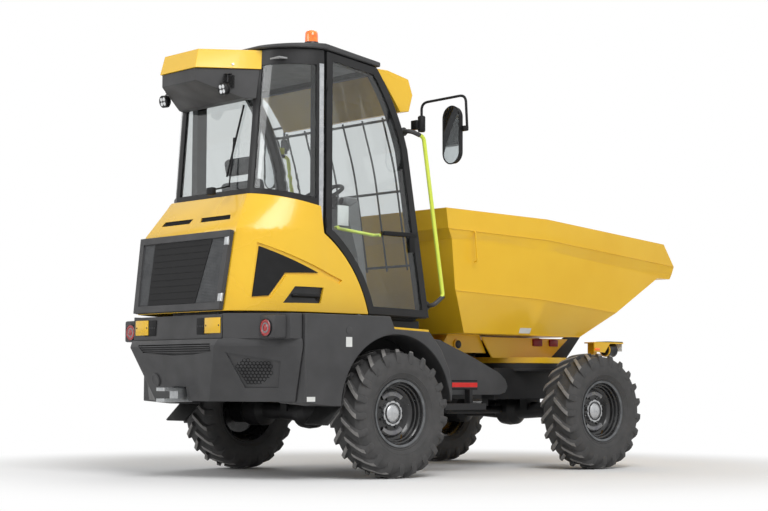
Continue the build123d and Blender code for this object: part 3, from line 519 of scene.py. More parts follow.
form = bmesh.new()
workLamp = {"place": (-1.986, 0.336, 2.524), "tiltDeg": 12}
for side in (-1, 1):
    tilt = math.radians(workLamp["tiltDeg"])
    at = Vector(workLamp["place"])
    at.y *= side
    place = facing(at, (-math.cos(tilt), 0, -math.sin(tilt)))
    lathe(form, place, [(0.0, 0.0), (0.0, 0.03), (0.006, 0.036), (0.012, 0.036), (0.012, 0.042),
        (0.016, 0.042), (0.016, 0.036), (0.02, 0.036), (0.02, 0.042),
        (0.024, 0.042), (0.024, 0.036), (0.028, 0.036), (0.028, 0.042),
        (0.046, 0.042), (0.048, 0.04), (0.048, 0.037)], 40, slot=0)
    lathe(form, place, [(0.045, 0.038), (0.045, 0.0)], 40, slot=0)
    for u, v in ((-1, -1), (-1, 1), (1, -1), (1, 1)):
        spot = place @ shift((0.0155 * u, 0.0155 * v, 0.045))
        lathe(form, spot, [(0.0, 0.0135), (0.002, 0.0128), (0.003, 0.008), (0.0032, 0.0)], 20, slot=1)
    hanger = Vector((workLamp["place"][0], side * 0.336, 2.566))
    rod(form, [hanger, hanger + Vector((0, 0, 0.05))], 0.007, 10, slot=0)
    block(form, hanger + Vector((0.0, 0, 0.052)), (0.03, 0.06, 0.008), 0.002)
finishPiece(form, "work_lamps.led", "work_lamps", ["lampBlack", "ledWhite"], ["work_lamps"])

form = bmesh.new()
for side in (-1, 1):
    place = facing((-1.979, side * 0.758, 0.962), (-1, 0, 0))
    for profile, slot in (([(0.0, 0.058), (0.01, 0.058), (0.012, 0.055), (0.009, 0.052)], 0),
            ([(0.009, 0.052), (0.0115, 0.047), (0.0115, 0.036), (0.009, 0.033)], 1),
            ([(0.009, 0.033), (0.0105, 0.031), (0.0105, 0.024), (0.009, 0.023)], 2),
            ([(0.009, 0.023), (0.0112, 0.018), (0.0119, 0.008), (0.012, 0.0)], 1),
            ([(0.0, 0.058), (0.0, 0.0)], 0)):
        lathe(form, place, profile, 48, slot=slot)
finishPiece(form, "bumper.tail_lamps", "bumper", ["lampBlack", "redLens", "greyAbs"])
print("lamps made")


# pieces that follow a surface

farOut, missDepth = 4, 3.9


def outlook(outward):
    # a frame far outside, whose Z looks back along outward and whose Y is up
    back = Vector(outward).normalized()
    level = Vector((0, 0, 1)).cross(back).normalized()
    turn = Matrix((level, back.cross(level), back)).transposed().to_4x4()
    return shift(back * farOut) @ turn


surfaces = {}


def onSurface(nodeName, point, outward):
    # where a line looking in along outward through point meets the node
    if nodeName not in surfaces:
        mesh = nodes[nodeName].data
        surfaces[nodeName] = BVHTree.FromPolygons([v.co for v in mesh.vertices],
            [p.vertices for p in mesh.polygons])
    back = Vector(outward).normalized()
    start = Vector(point) + back * (farOut - Vector(point).dot(back))
    hit, normal, _, _ = surfaces[nodeName].ray_cast(start, -back)
    return (hit, normal) if hit else (Vector(point), back)


def follow(form, nodeName, points, outward, high, low, slot=0, cell=0.06):
    # a plate between two heights over the node's surface, its outline given by world points
    view = outlook(outward)
    flat = bmesh.new()
    local = [view.inverted() @ Vector(p) for p in points]
    flat.faces.new([flat.verts.new((p.x, p.y, 0)) for p in local])
    bmesh.ops.triangulate(flat, faces=flat.faces)
    for axis in (0, 1):
        lowest, highest = min(p[axis] for p in local), max(p[axis] for p in local)
        for n in range(1, int((highest - lowest) / cell) + 1):
            spot, normal = Vector((0, 0, 0)), Vector((0, 0, 0))
            spot[axis], normal[axis] = lowest + n * cell, 1.0
            bmesh.ops.bisect_plane(flat, geom=flat.verts[:] + flat.edges[:] + flat.faces[:],
                plane_co=spot, plane_no=normal)
    back = Vector(outward).normalized()
    hits = {vert: onSurface(nodeName, view @ vert.co, outward)[0] for vert in flat.verts}
    depths = [hit.dot(back) for hit in hits.values() if hit.dot(back) < missDepth]
    depth = sum(depths) / len(depths)
    tops, feet = {}, {}
    for vert, hit in hits.items():
        hit = hit - back * (hit.dot(back) - depth) if hit.dot(back) > missDepth else hit
        tops[vert], feet[vert] = form.verts.new(hit + back * high), form.verts.new(hit + back * low)
    for face in flat.faces:
        form.faces.new([tops[v] for v in face.verts]).material_index = slot
        form.faces.new([feet[v] for v in reversed(face.verts)]).material_index = slot
    for edge in flat.edges:
        if len(edge.link_faces) == 1:
            a, b = edge.verts
            form.faces.new((tops[a], tops[b], feet[b], feet[a])).material_index = slot
    flat.free()


def upright(y, x0, x1, z0, z1):
    # the corners of a rectangle that stands square to Y
    return [(x0, y, z0), (x1, y, z0), (x1, y, z1), (x0, y, z1)]


def bent(points, bend, steps=5):
    # the same route with each corner rounded
    points = [Vector(p) for p in points]
    route = [points[0]]
    for before, corner, after in zip(points, points[1:], points[2:]):
        start = corner + (before - corner).normalized() * bend
        stop = corner + (after - corner).normalized() * bend
        for n in range(steps + 1):
            t = n / steps
            route.append(start * (1 - t) ** 2 + corner * 2 * t * (1 - t) + stop * t * t)
    return route + [points[-1]]


def inside(x, y, outline):
    hits = False
    for (ax, ay), (bx, by) in zip(outline, outline[1:] + outline[:1]):
        if (ay > y) != (by > y) and x < ax + (y - ay) / (by - ay) * (bx - ax):
            hits = not hits
    return hits


def honeycomb(form, place, outline, pitch, wire, depth, slot=0):
    # a perforated sheet of six-sided holes on the frame's XY, kept inside an outline
    xs, ys = [p[0] for p in outline], [p[1] for p in outline]
    row, y = 0, min(ys)
    while y < max(ys):
        x = min(xs) + (pitch / 2 if row % 2 else 0)
        while x < max(xs):
            if all(inside(x + dx, y + dy, outline)
                    for dx, dy in ((pitch / 2, 0), (-pitch / 2, 0), (0, pitch / 2), (0, -pitch / 2))):
                outer, inner = pitch / math.sqrt(3), (pitch - wire) / math.sqrt(3)
                turns = [math.radians(30 + 60 * k) for k in range(6)]
                rings = [[place @ Vector((x + r * math.cos(a), y + r * math.sin(a), z)) for a in turns]
                    for r, z in ((outer, 0), (inner, 0), (inner, -depth))]
                skin(form, rings, slot)
            x += pitch
        y += pitch * math.sqrt(3) / 2
        row += 1


def cutPockets(nodeName, pockets):
    # takes pockets (points, outward, depth) out of the eased copy of a node
    piece = bpy.data.objects[nodeName + ".eased"]
    form = bmesh.new()
    for points, outward, depth in pockets:
        follow(form, nodeName, points, outward, 0.03, -depth)
    bmesh.ops.recalc_face_normals(form, faces=form.faces)
    mesh = bpy.data.meshes.new("pocket")
    form.to_mesh(mesh)
    form.free()
    cutter = newObject("pocket", mesh)
    cut = piece.modifiers.new("cut", "BOOLEAN")
    cut.object = cutter
    cut.operation = "DIFFERENCE"
    cut.solver = "EXACT"
    applyModifiers(piece)
    bpy.data.objects.remove(cutter)


# bonnet: black inserts, latches and deck vents

right, left, rearward = (0, -1, 0), (0, 1, 0), (-1, 0, 0)
bothSides = ((-1, right), (1, left))
bonnetLooks = {
    "insert": [(-1.976, 1.15), (-1.934, 1.51), (-1.325, 1.288), (-1.345, 1.262), (-1.525, 1.312),
    (-1.763, 1.306), (-1.862, 1.156)],
    "plate": [(-1.964, 1.164), (-1.922, 1.486), (-1.527, 1.328), (-1.77, 1.32), (-1.872, 1.172)],
    "latch": [(-1.787, 1.127), (-1.706, 1.235), (-1.482, 1.234), (-1.51, 1.131)],
    "vent": [(0.062, 1.668), (0.388, 1.668), (0.368, 1.7), (0.044, 1.7)],
    "insertDepth": 0.012, "latchDepth": 0.017, "ventDepth": 0.014}


def sideways(outline, side):
    return [(x, side * 0.7, z) for x, z in outline]


pockets = []
for side, outward in bothSides:
    pockets.append((sideways(bonnetLooks["insert"], side), outward, bonnetLooks["insertDepth"]))
    pockets.append((sideways(bonnetLooks["latch"], side), outward, bonnetLooks["latchDepth"]))
    vent = [(-2.0, side * y, z) for y, z in bonnetLooks["vent"]]
    pockets.append((vent, rearward, bonnetLooks["ventDepth"]))
cutPockets("bonnet", pockets)
form = bmesh.new()
for side, outward in bothSides:
    follow(form, "bonnet", sideways(bonnetLooks["plate"], side), outward, -0.004, -0.011)
    latch = bonnetLooks["latch"]
    follow(form, "bonnet", sideways(latch, side), outward, -0.0155, -0.0168, 1)
    rod(form, bent([(-1.715, side * 0.692, 1.176), (-1.7, side * 0.706, 1.176),
        (-1.52, side * 0.7135, 1.176), (-1.512, side * 0.7, 1.176)], 0.01), 0.011, 12)
    block(form, (-1.524, side * 0.703, 1.166), (0.03, 0.018, 0.034), 0.004)
    for n in range(3):
        z = 1.674 + 0.0095 * n
        slat = [(-2.0, side * y, height) for y, height in
            ((0.056, z), (0.38, z), (0.38, z + 0.005), (0.056, z + 0.005))]
        follow(form, "bonnet", slat, rearward, -0.004, -0.0138)
    follow(form, "bonnet", [(-2.0, side * y, z) for y, z in bonnetLooks["vent"]], rearward,
        -0.0125, -0.0138, 1)
finishPiece(form, "bonnet.trim", "bonnet", ["nylonTrim", "lampBlack"])
print("bonnet dressed")


# grille door: centre panel, mesh strips and hinges

grilleFoot, grilleHead = Vector((-2.11, 0, 1.076)), Vector((-2.042, 0, 1.584))
upSlope = (grilleHead - grilleFoot).normalized()
grilleFrame = Matrix((Vector((0, -1, 0)), upSlope,
    Vector((0, -1, 0)).cross(upSlope))).transposed().to_4x4()
grilleFrame = shift(grilleFoot) @ grilleFrame
grille = {"face": 0.034, "floor": 0.022, "panelTop": 0.03, "tall": 0.512,
    "panel": [(-0.33, 0.05), (0.205, 0.05), (0.315, 0.462), (-0.33, 0.462)],
    "leftMesh": [(-0.446, 0.047), (-0.33, 0.047), (-0.33, 0.465), (-0.461, 0.465)],
    "rightMesh": [(0.205, 0.047), (0.438, 0.047), (0.461, 0.465), (0.316, 0.465)],
    "pitch": 0.011, "wire": 0.0035}
form = bmesh.new()
lift = (grilleFrame.to_3x3() @ Vector((0, 0, 1))) * (grille["panelTop"] - grille["floor"])
corners = [grilleFrame @ Vector((x, y, grille["floor"])) for x, y in grille["panel"]]
slab(form, corners, lift, 0)
for n in range(9):  # pressed ribs across the panel
    y = 0.085 + 0.043 * n
    rightEnd = 0.19 + 0.27 * (y - 0.05)
    rod(form, [grilleFrame @ Vector((-0.312, y, 0.0302)), grilleFrame @ Vector((rightEnd, y, 0.0302))],
        0.0022, 6, 0)
for strip in ("leftMesh", "rightMesh"):
    place = grilleFrame @ shift((0, 0, 0.0275))
    honeycomb(form, place, grille[strip], grille["pitch"], grille["wire"], 0.003, 1)
for share in (0.15, 0.86):
    hinge = grilleFrame @ shift((0.478, share * grille["tall"], grille["face"] + 0.001))
    block(form, hinge, (0.042, 0.052, 0.006), 0.0015, 2)
    barrel = grilleFrame @ shift((0.497, share * grille["tall"] - 0.026, 0.034))
    lathe(form, barrel @ Matrix.Rotation(math.radians(-90), 4, "X"),
        [(0.0, 0.0), (0.0, 0.008), (0.052, 0.008), (0.052, 0.0)], 16, 2)
finishPiece(form, "grille_door.mesh", "grille_door", ["nylonTrim", "meshWire", "zincPlate"])

# rear panel: blank reflective plates and the black sockets beside them
form = bmesh.new()
for low, high, side in ((0.319, 0.485, -1), (0.32, 0.468, 1)):
    middle = Vector((-2.1335, side * (low + high) / 2, 0.981))
    block(form, middle, (0.005, high - low, 0.099), 0.0015, 0)
    for y in (low + 0.014, high - 0.014):
        lathe(form, facing((-2.136, side * y, 0.981), (-1, 0, 0)),
            [(0.0, 0.006), (0.002, 0.005), (0.003, 0.0)], 12, 2)
for side in (-1, 1):
    block(form, (-2.131, side * 0.272, 0.978), (0.008, 0.084, 0.104), 0.003, 1)
    for n in range(4):
        place = facing((-2.135, side * (0.245 + 0.018 * n), 0.978), (-1, 0, 0))
        lathe(form, place, [(0.0, 0.0065), (0.002, 0.006), (0.002, 0.0)], 12, 2)
finishPiece(form, "rear_panel.plates", "rear_panel", ["yellowMoulding", "nylonTrim", "lampBlack"])
print("grille and rear panel dressed")


# bumper: louvred slot, round cap, corner pockets with their mesh, lamp pods

bumperLooks = {
    "slot": [(0.387, 0.866), (-0.425, 0.866), (-0.426, 0.816), (-0.236, 0.798), (-0.015, 0.794),
    (0.334, 0.814)], "corner": [(-2.124, 0.52, 0.81), (-1.93, 0.808, 0.755), (-1.877, 0.743, 0.588),
    (-1.987, 0.548, 0.587)],
    "mesh": [(-2.1, 0.525, 0.786), (-1.952, 0.76, 0.752), (-1.898, 0.715, 0.606),
    (-1.99, 0.56, 0.602)], "slotDepth": 0.016, "pocketDepth": 0.009, "cap": (-2.117, 0.241, 0.638)}
pockets = [([(-2.1, y, z) for y, z in bumperLooks["slot"]], rearward, bumperLooks["slotDepth"])]
cornerLook = {side: (-0.829, side * 0.559, 0) for side in (-1, 1)}
for side in (-1, 1):
    points = [(x, side * y, z) for x, y, z in bumperLooks["corner"]]
    pockets.append((points, cornerLook[side], bumperLooks["pocketDepth"]))
cutPockets("bumper", pockets)
form = bmesh.new()
for n in range(4):
    z = 0.852 - 0.014 * n
    rib = [(-2.1, y, height) for y, height in ((0.375 - 0.006 * n, z), (-0.416, z), (-0.416, z + 0.006),
        (0.375 - 0.006 * n, z + 0.006))]
    follow(form, "bumper", rib, rearward, -0.002, -0.0158)
cap = facing(bumperLooks["cap"], Vector((-0.968, 0, -0.252)))
lathe(form, cap, [(-0.012, 0.045), (0.008, 0.045), (0.011, 0.041), (0.012, 0.034), (0.01, 0.03),
    (0.01, 0.0)], 40, 0)
for side in (-1, 1):
    points = [Vector((x, side * y, z)) for x, y, z in bumperLooks["mesh"]]
    view = outlook(cornerLook[side])
    hit, normal = onSurface("bumper", sum(points, Vector()) / 4, cornerLook[side])
    turn = normal.to_track_quat("Z", "Y").to_matrix().to_4x4()
    place = shift(hit - normal * (bumperLooks["pocketDepth"] - 0.004)) @ turn
    local = [place.inverted() @ onSurface("bumper", p, cornerLook[side])[0] for p in points]
    honeycomb(form, place, [(p.x, p.y) for p in local], 0.024, 0.006, 0.004, 1)
    # pod that carries the tail lamp, its corners rounded
    block(form, (-1.931, side * 0.762, 0.97), (0.098, 0.156, 0.146), 0.012, 0)
finishPiece(form, "bumper.detail", "bumper", ["charcoalPlastic", "nylonTrim"])
print("bumper dressed")


# windscreen guard: round bars on standoffs before the glass

guard = {"foot": 1.4, "waist": 1.94, "head": 2.44, "bar": 0.007, "rail": 0.009, "gap": 0.034,
    "bend": 2.1, "bars": (-0.525, -0.315, -0.105, 0.105, 0.315, 0.525)}


def beforeScreen(z):
    # the line in front of the glass, found from the windscreen itself
    hit = onSurface("windscreen", (0.0, 0.12, z), (1, 0, 0))[0]
    return hit.x + guard["gap"]


form = bmesh.new()
for y in guard["bars"]:
    route = [(beforeScreen(guard[z]), y, guard[z]) for z in ("foot", "bend", "head")]
    rod(form, bent(route, 0.12), guard["bar"], 10)
for z in (guard["foot"] + 0.03, guard["waist"], guard["head"] - 0.02):
    x = beforeScreen(z)
    rod(form, [(x, -0.64, z), (x, 0.64, z)], guard["rail"], 12)
    for side in (-1, 1):
        rod(form, bent([(x, side * 0.63, z), (x - 0.02, side * 0.642, z), (x - 0.06, side * 0.642, z)],
            0.008), 0.01, 10)
finishPiece(form, "guard.bars", "cab_frame", "blackPowderCoat")

# mirrors: black oval heads on bent tube, silvered on the rear face
form = bmesh.new()
for side in (-1, 1):
    rod(form, bent([(-0.65, side * 0.752, 2.38), (-0.65, side * 0.752, 2.53),
        (-0.56, side * 1.089, 2.556), (-0.545, side * 1.089, 2.32)], 0.05, 8), 0.009, 12)
    lathe(form, facing((-0.65, side * 0.752, 2.331), (0, 0, 1)),
        [(0.0, 0.0), (0.0, 0.022), (0.008, 0.026), (0.102, 0.026), (0.11, 0.02), (0.11, 0.0)], 24)
    block(form, (-0.672, side * 0.716, 2.38), (0.04, 0.06, 0.064), 0.006)
    block(form, (-0.556, side * 1.068, 2.33), (0.04, 0.056, 0.034), 0.006)
    rings = []
    for depth, half, tall in ((-0.046, 0.06, 0.176), (-0.036, 0.076, 0.192), (-0.004, 0.083, 0.199),
            (0.0, 0.084, 0.2), (0.003, 0.082, 0.198), (0.003, 0.076, 0.192), (-0.001, 0.075, 0.191)):
        ring = []
        for n in range(48):
            angle = 2 * math.pi * n / 48
            up = (tall - half) * (1 if math.sin(angle) >= 0 else -1)
            ring.append(Vector((-0.6 - depth, side * 0.99 + half * math.cos(angle),
                2.29 + up + half * math.sin(angle))))
        rings.append(ring)
    skin(form, rings, 0)
    form.faces.new([form.verts.new(p) for p in rings[0]]).material_index = 0
    form.faces.new([form.verts.new(p) for p in rings[-1]]).material_index = 1
finishPiece(form, "mirrors.head", "mirrors", ["nylonTrim", "mirrorSilver"], ["mirrors"])
print("guard and mirrors made")


# seat: foam under stretched cloth, blown out a little by a cloth simulation

seat = {"voxel": 0.006, "pressure": 4.0, "frames": 20, "cap": 0.01, "ease": 0.028, "piping": 0.0032,
    "pipingTurns": 64, "pipingLevel": 0.22, "seam": 0.0022, "seamSteps": 12, "seamReach": 0.9,
    "seamSink": 0.0006}
pads = [  # name, middle, lean in degrees, size before it swells, seam lines across (share of width)
    ("cushion", (-1.306, 0, 1.57), 0, (0.45, 0.452, 0.076), (-0.24, 0.24)),
    ("backrest", (-1.574, 0, 1.806), -12, (0.074, 0.43, 0.37), (-0.24, 0.24)),
    ("headrest", (-1.631, 0, 2.076), -12, (0.066, 0.27, 0.118), ()),
]


def swell(piece):
    # cloth under pressure, each point's move capped so the pad keeps its size
    start = [v.co.copy() for v in piece.data.vertices]
    cloth = piece.modifiers.new("stretch", "CLOTH")
    cloth.settings.use_pressure = True
    cloth.settings.uniform_pressure_force = seat["pressure"]
    cloth.settings.effector_weights.gravity = 0
    scene = bpy.context.scene
    for step in range(1, seat["frames"] + 1):
        scene.frame_set(step)
    applyModifiers(piece)
    scene.frame_set(1)
    for vertex, first in zip(piece.data.vertices, start):
        move = vertex.co - first
        if move.length > seat["cap"]:
            vertex.co = first + move.normalized() * seat["cap"]


for name, middle, lean, size, seams in pads:
    form = bmesh.new()
    block(form, Matrix.Identity(4), size, seat["ease"])
    piece = addPiece("seat." + name, toMesh(form, name), bodyOf["seat_pads"], "seatCloth",
        ["seat_pads"])
    remesh = piece.modifiers.new("remesh", "REMESH")
    remesh.mode = "VOXEL"
    remesh.voxel_size = seat["voxel"]
    remesh.use_smooth_shade = True
    applyModifiers(piece)
    swell(piece)
    soften = piece.modifiers.new("soften", "SUBSURF")
    soften.levels = soften.render_levels = 1
    applyModifiers(piece)
    tree = BVHTree.FromPolygons([v.co for v in piece.data.vertices],
        [p.vertices for p in piece.data.polygons])
    thin = min(range(3), key=lambda axis: size[axis])
    wide, tall = [axis for axis in range(3) if axis != thin]
    route = []
    for n in range(seat["pipingTurns"]):  # piping where the side meets the face
        angle = 2 * math.pi * n / seat["pipingTurns"]
        heading = Vector((0, 0, 0))
        heading[wide], heading[tall] = math.cos(angle), math.sin(angle)
        level = Vector((0, 0, 0))
        level[thin] = size[thin] * seat["pipingLevel"]
        hit = tree.ray_cast(level + heading, -heading)[0]
        if hit:
            route.append(hit)
    piping = bmesh.new()
    rod(piping, route + route[:1], seat["piping"], 8, ends=False)
    for share in seams:  # sewn channels over the face
        line = []
        for n in range(seat["seamSteps"] + 1):
            point = Vector((0, 0, 0))
            point[1] = size[1] * share
            run = 0 if thin == 2 else 2
            point[run] = size[run] * (n / seat["seamSteps"] - 0.5) * seat["seamReach"]
            point[thin] = 1.0
            down = Vector((0, 0, 0))
            down[thin] = -1.0
            hit = tree.ray_cast(point, down)[0]
            if hit:
                line.append(hit + down * seat["seamSink"])
        rod(piping, line, seat["seam"], 6)
    trim = finishPiece(piping, "seat." + name + "Piping", "seat_pads", "nylonTrim")
    place = shift(middle) @ Matrix.Rotation(math.radians(lean), 4, "Y")
    for each in (piece, trim):
        each.data.transform(place)
    for polygon in piece.data.polygons:
        polygon.use_smooth = True
print("seat padded")


# cab: armrest console, dash pod, roof lining, door-post strips, wiper, rails' ends

form = bmesh.new()
block(form, (-1.35, -0.365, 1.535), (0.34, 0.1, 0.22), 0.016, 0)
block(form, (-1.385, -0.365, 1.668), (0.3, 0.092, 0.044), 0.018, 1)
rod(form, [(-1.21, -0.365, 1.64), (-1.2, -0.365, 1.77)], 0.008, 12, 1)
lathe(form, facing((-1.2, -0.365, 1.765), (0.08, 0, 1)),
    [(0.0, 0.01), (0.012, 0.02), (0.04, 0.024), (0.058, 0.018), (0.064, 0.0)], 24, 1)
block(form, (-0.742, 0, 1.895), (0.12, 0.28, 0.06), 0.022, 0)
lathe(form, facing((-0.802, 0, 1.9), (-1, 0, 0.2)),
    [(0.0, 0.046), (0.004, 0.046), (0.005, 0.04), (0.002, 0.038), (0.002, 0.0)], 32, 1)
for side in (-1, 1):
    lathe(form, facing((-0.802, side * 0.088, 1.898), (-1, 0, 0.2)),
        [(0.0, 0.024), (0.003, 0.024), (0.003, 0.0)], 24, 1)
finishPiece(form, "cab.console", "cab_frame", ["greyAbs", "nylonTrim"])

form = bmesh.new()
slab(form, [(-1.76, -0.59, 2.722), (-1.02, -0.59, 2.722), (-1.02, 0.59, 2.722),
    (-1.76, 0.59, 2.722)], (0, 0, 0.01))
finishPiece(form, "cab.lining", "cab_frame", "roofLining")

form = bmesh.new()
for side, outward in bothSides:
    strip = upright(side * 0.7, -1.512, -1.48, 1.57, 2.7)
    follow(form, "cab_frame", strip, outward, 0.003, -0.001, 0, 0.3)
finishPiece(form, "cab.strips", "cab_frame", "anodisedStrip")


def offGlass(y, z, off):
    return onSurface("rear_glazing", (-2.0, y, z), rearward)[0] + Vector((-off, 0, 0))


form = bmesh.new()
motor = offGlass(-0.214, 1.86, 0.02)
block(form, motor, (0.036, 0.07, 0.05), 0.008)
rod(form, [offGlass(-0.214, 1.862, 0.04), offGlass(-0.214, 1.905, 0.032), offGlass(-0.213, 2.216, 0.02)],
    0.0055, 10)
blade = [offGlass(-0.15 - 0.13 * t, 1.975 + 0.468 * t, 0.011) for t in (0, 0.25, 0.5, 0.75, 1)]
rod(form, blade, 0.0058, 8)
rod(form, [p + Vector((0.006, 0, 0)) for p in blade], 0.0035, 6)
block(form, offGlass(-0.213, 2.216, 0.016), (0.014, 0.022, 0.03), 0.003)
finishPiece(form, "cab.wiper", "cab_frame", "nylonTrim")

form = bmesh.new()
for side in (-1, 1):
    low = bent([(-0.526, side * 0.662, 1.15), (-0.526, side * 0.742, 1.15),
        (-0.438, side * 0.742, 1.215)], 0.04)
    rod(form, low, 0.0152, 16)
    high = bent([(-0.742, side * 0.662, 2.332), (-0.742, side * 0.742, 2.33),
        (-0.66, side * 0.742, 2.309)], 0.04)
    rod(form, high, 0.0152, 16)
    for z, x in ((1.15, -0.526), (2.332, -0.742)):
        lathe(form, facing((x, side * 0.668, z), (0, side, 0)),
            [(0.0, 0.0), (0.0, 0.03), (0.008, 0.03), (0.01, 0.026), (0.01, 0.0)], 24)
finishPiece(form, "handrails.ends", "handrails", "charcoalPlastic")

# doors: grab bar, lock, outer pull and blank label inside the glass
for side, outward in bothSides:
    door = "door_right" if side < 0 else "door_left"
    form = bmesh.new()
    rod(form, bent([(-1.341, side * 0.69, 1.638), (-1.33, side * 0.64, 1.638),
        (-0.985, side * 0.64, 1.608), (-0.973, side * 0.69, 1.608)], 0.02), 0.011, 12, 0)
    block(form, (-0.7, side * 0.712, 1.56), (0.05, 0.016, 0.11), 0.006, 1)
    block(form, (-0.812, side * 0.716, 1.622), (0.3, 0.014, 0.03), 0.005, 1)
    for z in (1.656, 2.56):
        lathe(form, facing((-1.459, side * 0.712, z - 0.034), (0, 0, 1)),
            [(0.0, 0.0), (0.0, 0.008), (0.002, 0.009), (0.066, 0.009), (0.068, 0.008), (0.068, 0.0)],
            16, 1)
    if side < 0:
        block(form, (-1.302, -0.6925, 1.717), (0.095, 0.002, 0.132), 0.0006, 2)
    finishPiece(form, door + ".fittings", door, ["limeEnamel", "nylonTrim", "plateVinyl"])
print("cab dressed")


# wheel-arch panels and side plates: blank labels, round cap, yellow strip, reflective bar

form = bmesh.new()
for x0, x1, z0, z1 in ((-1.445, -1.394, 0.85, 0.913), (-1.765, -1.698, 0.502, 0.532)):
    follow(form, "fender_right", upright(-0.9, x0, x1, z0, z1), right, 0.001, -0.001)
lathe(form, facing((-1.418, -0.8995, 0.955), right),
    [(0.0, 0.026), (0.003, 0.026), (0.004, 0.022), (0.004, 0.0)], 32, 1)
finishPiece(form, "fender_right.labels", "fender_right", ["plateVinyl", "charcoalPlastic"])
form = bmesh.new()
for side in (-1, 1):
    slab(form, [(-1.01, side * 0.88, 0.972), (-0.7, side * 0.88, 0.96),
        (-0.7, side * 0.64, 0.96), (-1.01, side * 0.64, 0.972)], (0, 0, 0.016))
finishPiece(form, "fender.caps", "fender_right", "yellowEnamel")
form = bmesh.new()
for side, outward in bothSides:
    for z0, z1, slot in ((0.594, 0.626, 0), (0.634, 0.643, 1), (0.577, 0.586, 1)):
        bar = upright(side * 0.6, -0.141, 0.108, z0, z1)
        follow(form, "side_plates", bar, outward, 0.003, -0.001, slot, 0.3)
finishPiece(form, "side_plates.tape", "side_plates", ["redTape", "nylonTrim"])


# wheel-arch liners: black sheets that close the arches behind the tyres
form = bmesh.new()
liner = [(-1.52, 0.62), (-1.52, 0.968), (-0.64, 0.952), (-0.52, 0.74), (-0.56, 0.56),
    (-0.86, 0.56), (-0.9, 0.575), (-1.1, 0.575), (-1.14, 0.56), (-1.4, 0.56)]
for side in (-1, 1):
    slab(form, [(x, side * 0.608, z) for x, z in liner], (0, side * 0.005, 0))
finishPiece(form, "fender.liners", "fender_right", "nylonTrim")


# skip: weld beads on its folds, a bent rod, a blank plate, and the dark red blocks below it

form = bmesh.new()
form.from_mesh(nodes["skip"].data)
bmesh.ops.remove_doubles(form, verts=form.verts, dist=foldGap)
bmesh.ops.dissolve_limit(form, angle_limit=math.radians(0.5), verts=form.verts, edges=form.edges)
fold = {"shortest": 0.25, "out": 0.28, "bend": (7, 65), "bead": 0.0032, "inset": 0.004}
folds = []
for edge in form.edges:
    a, b = (v.co.copy() for v in edge.verts)
    middle = (a + b) / 2
    if len(edge.link_faces) == 2 and (a - b).length > fold["shortest"] and abs(middle.y) > fold["out"]:
        bend = math.degrees(edge.calc_face_angle_signed(0))
        outwards = sum((f.normal.y for f in edge.link_faces)) * middle.y > 0
        if fold["bend"][0] < bend < fold["bend"][1] and outwards:
            folds.append((a, b))
form.free()
beads = bmesh.new()
for a, b in folds:
    inset = (b - a).normalized() * fold["inset"]
    rod(beads, [a + inset, b - inset], fold["bead"], 6)
rod(beads, bent([(-0.084, -0.672, 1.692), (-0.084, -0.704, 1.685), (-0.064, -0.704, 1.48),
    (-0.064, -0.672, 1.474)], 0.012), 0.006, 10)
finishPiece(beads, "skip.welds", "skip", "yellowEnamel")
form = bmesh.new()
follow(form, "skip", upright(-0.7, 0.54, 0.657, 0.989, 1.028), right, 0.0015, -0.001)
finishPiece(form, "skip.plate", "skip", "plateVinyl")
form = bmesh.new()
for side in (-1, 1):
    for x0, x1, z0, z1 in ((0.94, 1.04, 0.905, 0.96), (1.124, 1.215, 0.905, 0.958)):
        block(form, ((x0 + x1) / 2, side * 0.279, (z0 + z1) / 2), (x1 - x0, 0.046, z1 - z0), 0.006)
finishPiece(form, "tip_arms.blocks", "tip_arms", "redEnamel")


# air conditioner: side mesh panels and cover screws

form = bmesh.new()
for side, outward in bothSides:
    hit, normal = onSurface("ac_housing", (-1.93, side * 0.5, 2.575), outward)
    turn = outlook(outward).to_3x3().to_4x4()
    place = shift(hit + normal * 0.004) @ turn
    reach = 0.085
    honeycomb(form, place, [(-reach, -0.045), (reach, -0.045), (reach, 0.05), (-reach, 0.05)],
        0.012, 0.004, 0.006, 0)
for y in (-0.33, 0.33):
    hit, normal = onSurface("ac_cover", (-2.2, y, 2.69), rearward)
    lathe(form, facing(hit, normal), [(0.0, 0.009), (0.003, 0.008), (0.004, 0.004), (0.004, 0.0)], 16, 1)
finishPiece(form, "ac_housing.mesh", "ac_housing", ["nylonTrim", "zincPlate"])
print("skip, sides and air conditioner dressed")


# head lamps and the skip's boss pins

form = bmesh.new()
for side in (-1, 1):
    lamp = facing((1.512, side * 0.511, 0.882), (1, 0, 0))
    lathe(form, lamp, [(-0.004, 0.0), (-0.004, 0.03), (0.006, 0.05), (0.014, 0.0535), (0.02, 0.0535),
        (0.024, 0.0525), (0.07, 0.0525), (0.074, 0.0545), (0.094, 0.0545),
        (0.096, 0.051), (0.092, 0.049)], 48, 0)
    lathe(form, lamp, [(0.092, 0.049), (0.096, 0.034), (0.0975, 0.0)], 48, 1)
    block(form, (1.57, side * 0.511, 0.9435), (0.176, 0.126, 0.007), 0.002, 0)
    block(form, (1.352, side * 0.5775, 0.884), (0.056, 0.008, 0.018), 0.003, 2)
    block(form, (1.655, side * 0.511, 0.905), (0.006, 0.11, 0.066), 0.002, 3)
finishPiece(form, "headlamps.lens", "headlamps", ["lampBlack", "ledWhite", "amberLens", "plateVinyl"])
form = bmesh.new()
for side in (-1, 1):
    pin = facing((0.17, side * 0.268, 0.905), (0, side, 0))
    lathe(form, pin, [(0.0, 0.03), (0.004, 0.03), (0.005, 0.028), (0.005, 0.02), (0.01, 0.019),
        (0.011, 0.016), (0.011, 0.0)], 32)
finishPiece(form, "skip.pins", "skip", "lampBlack")


# camera and studio

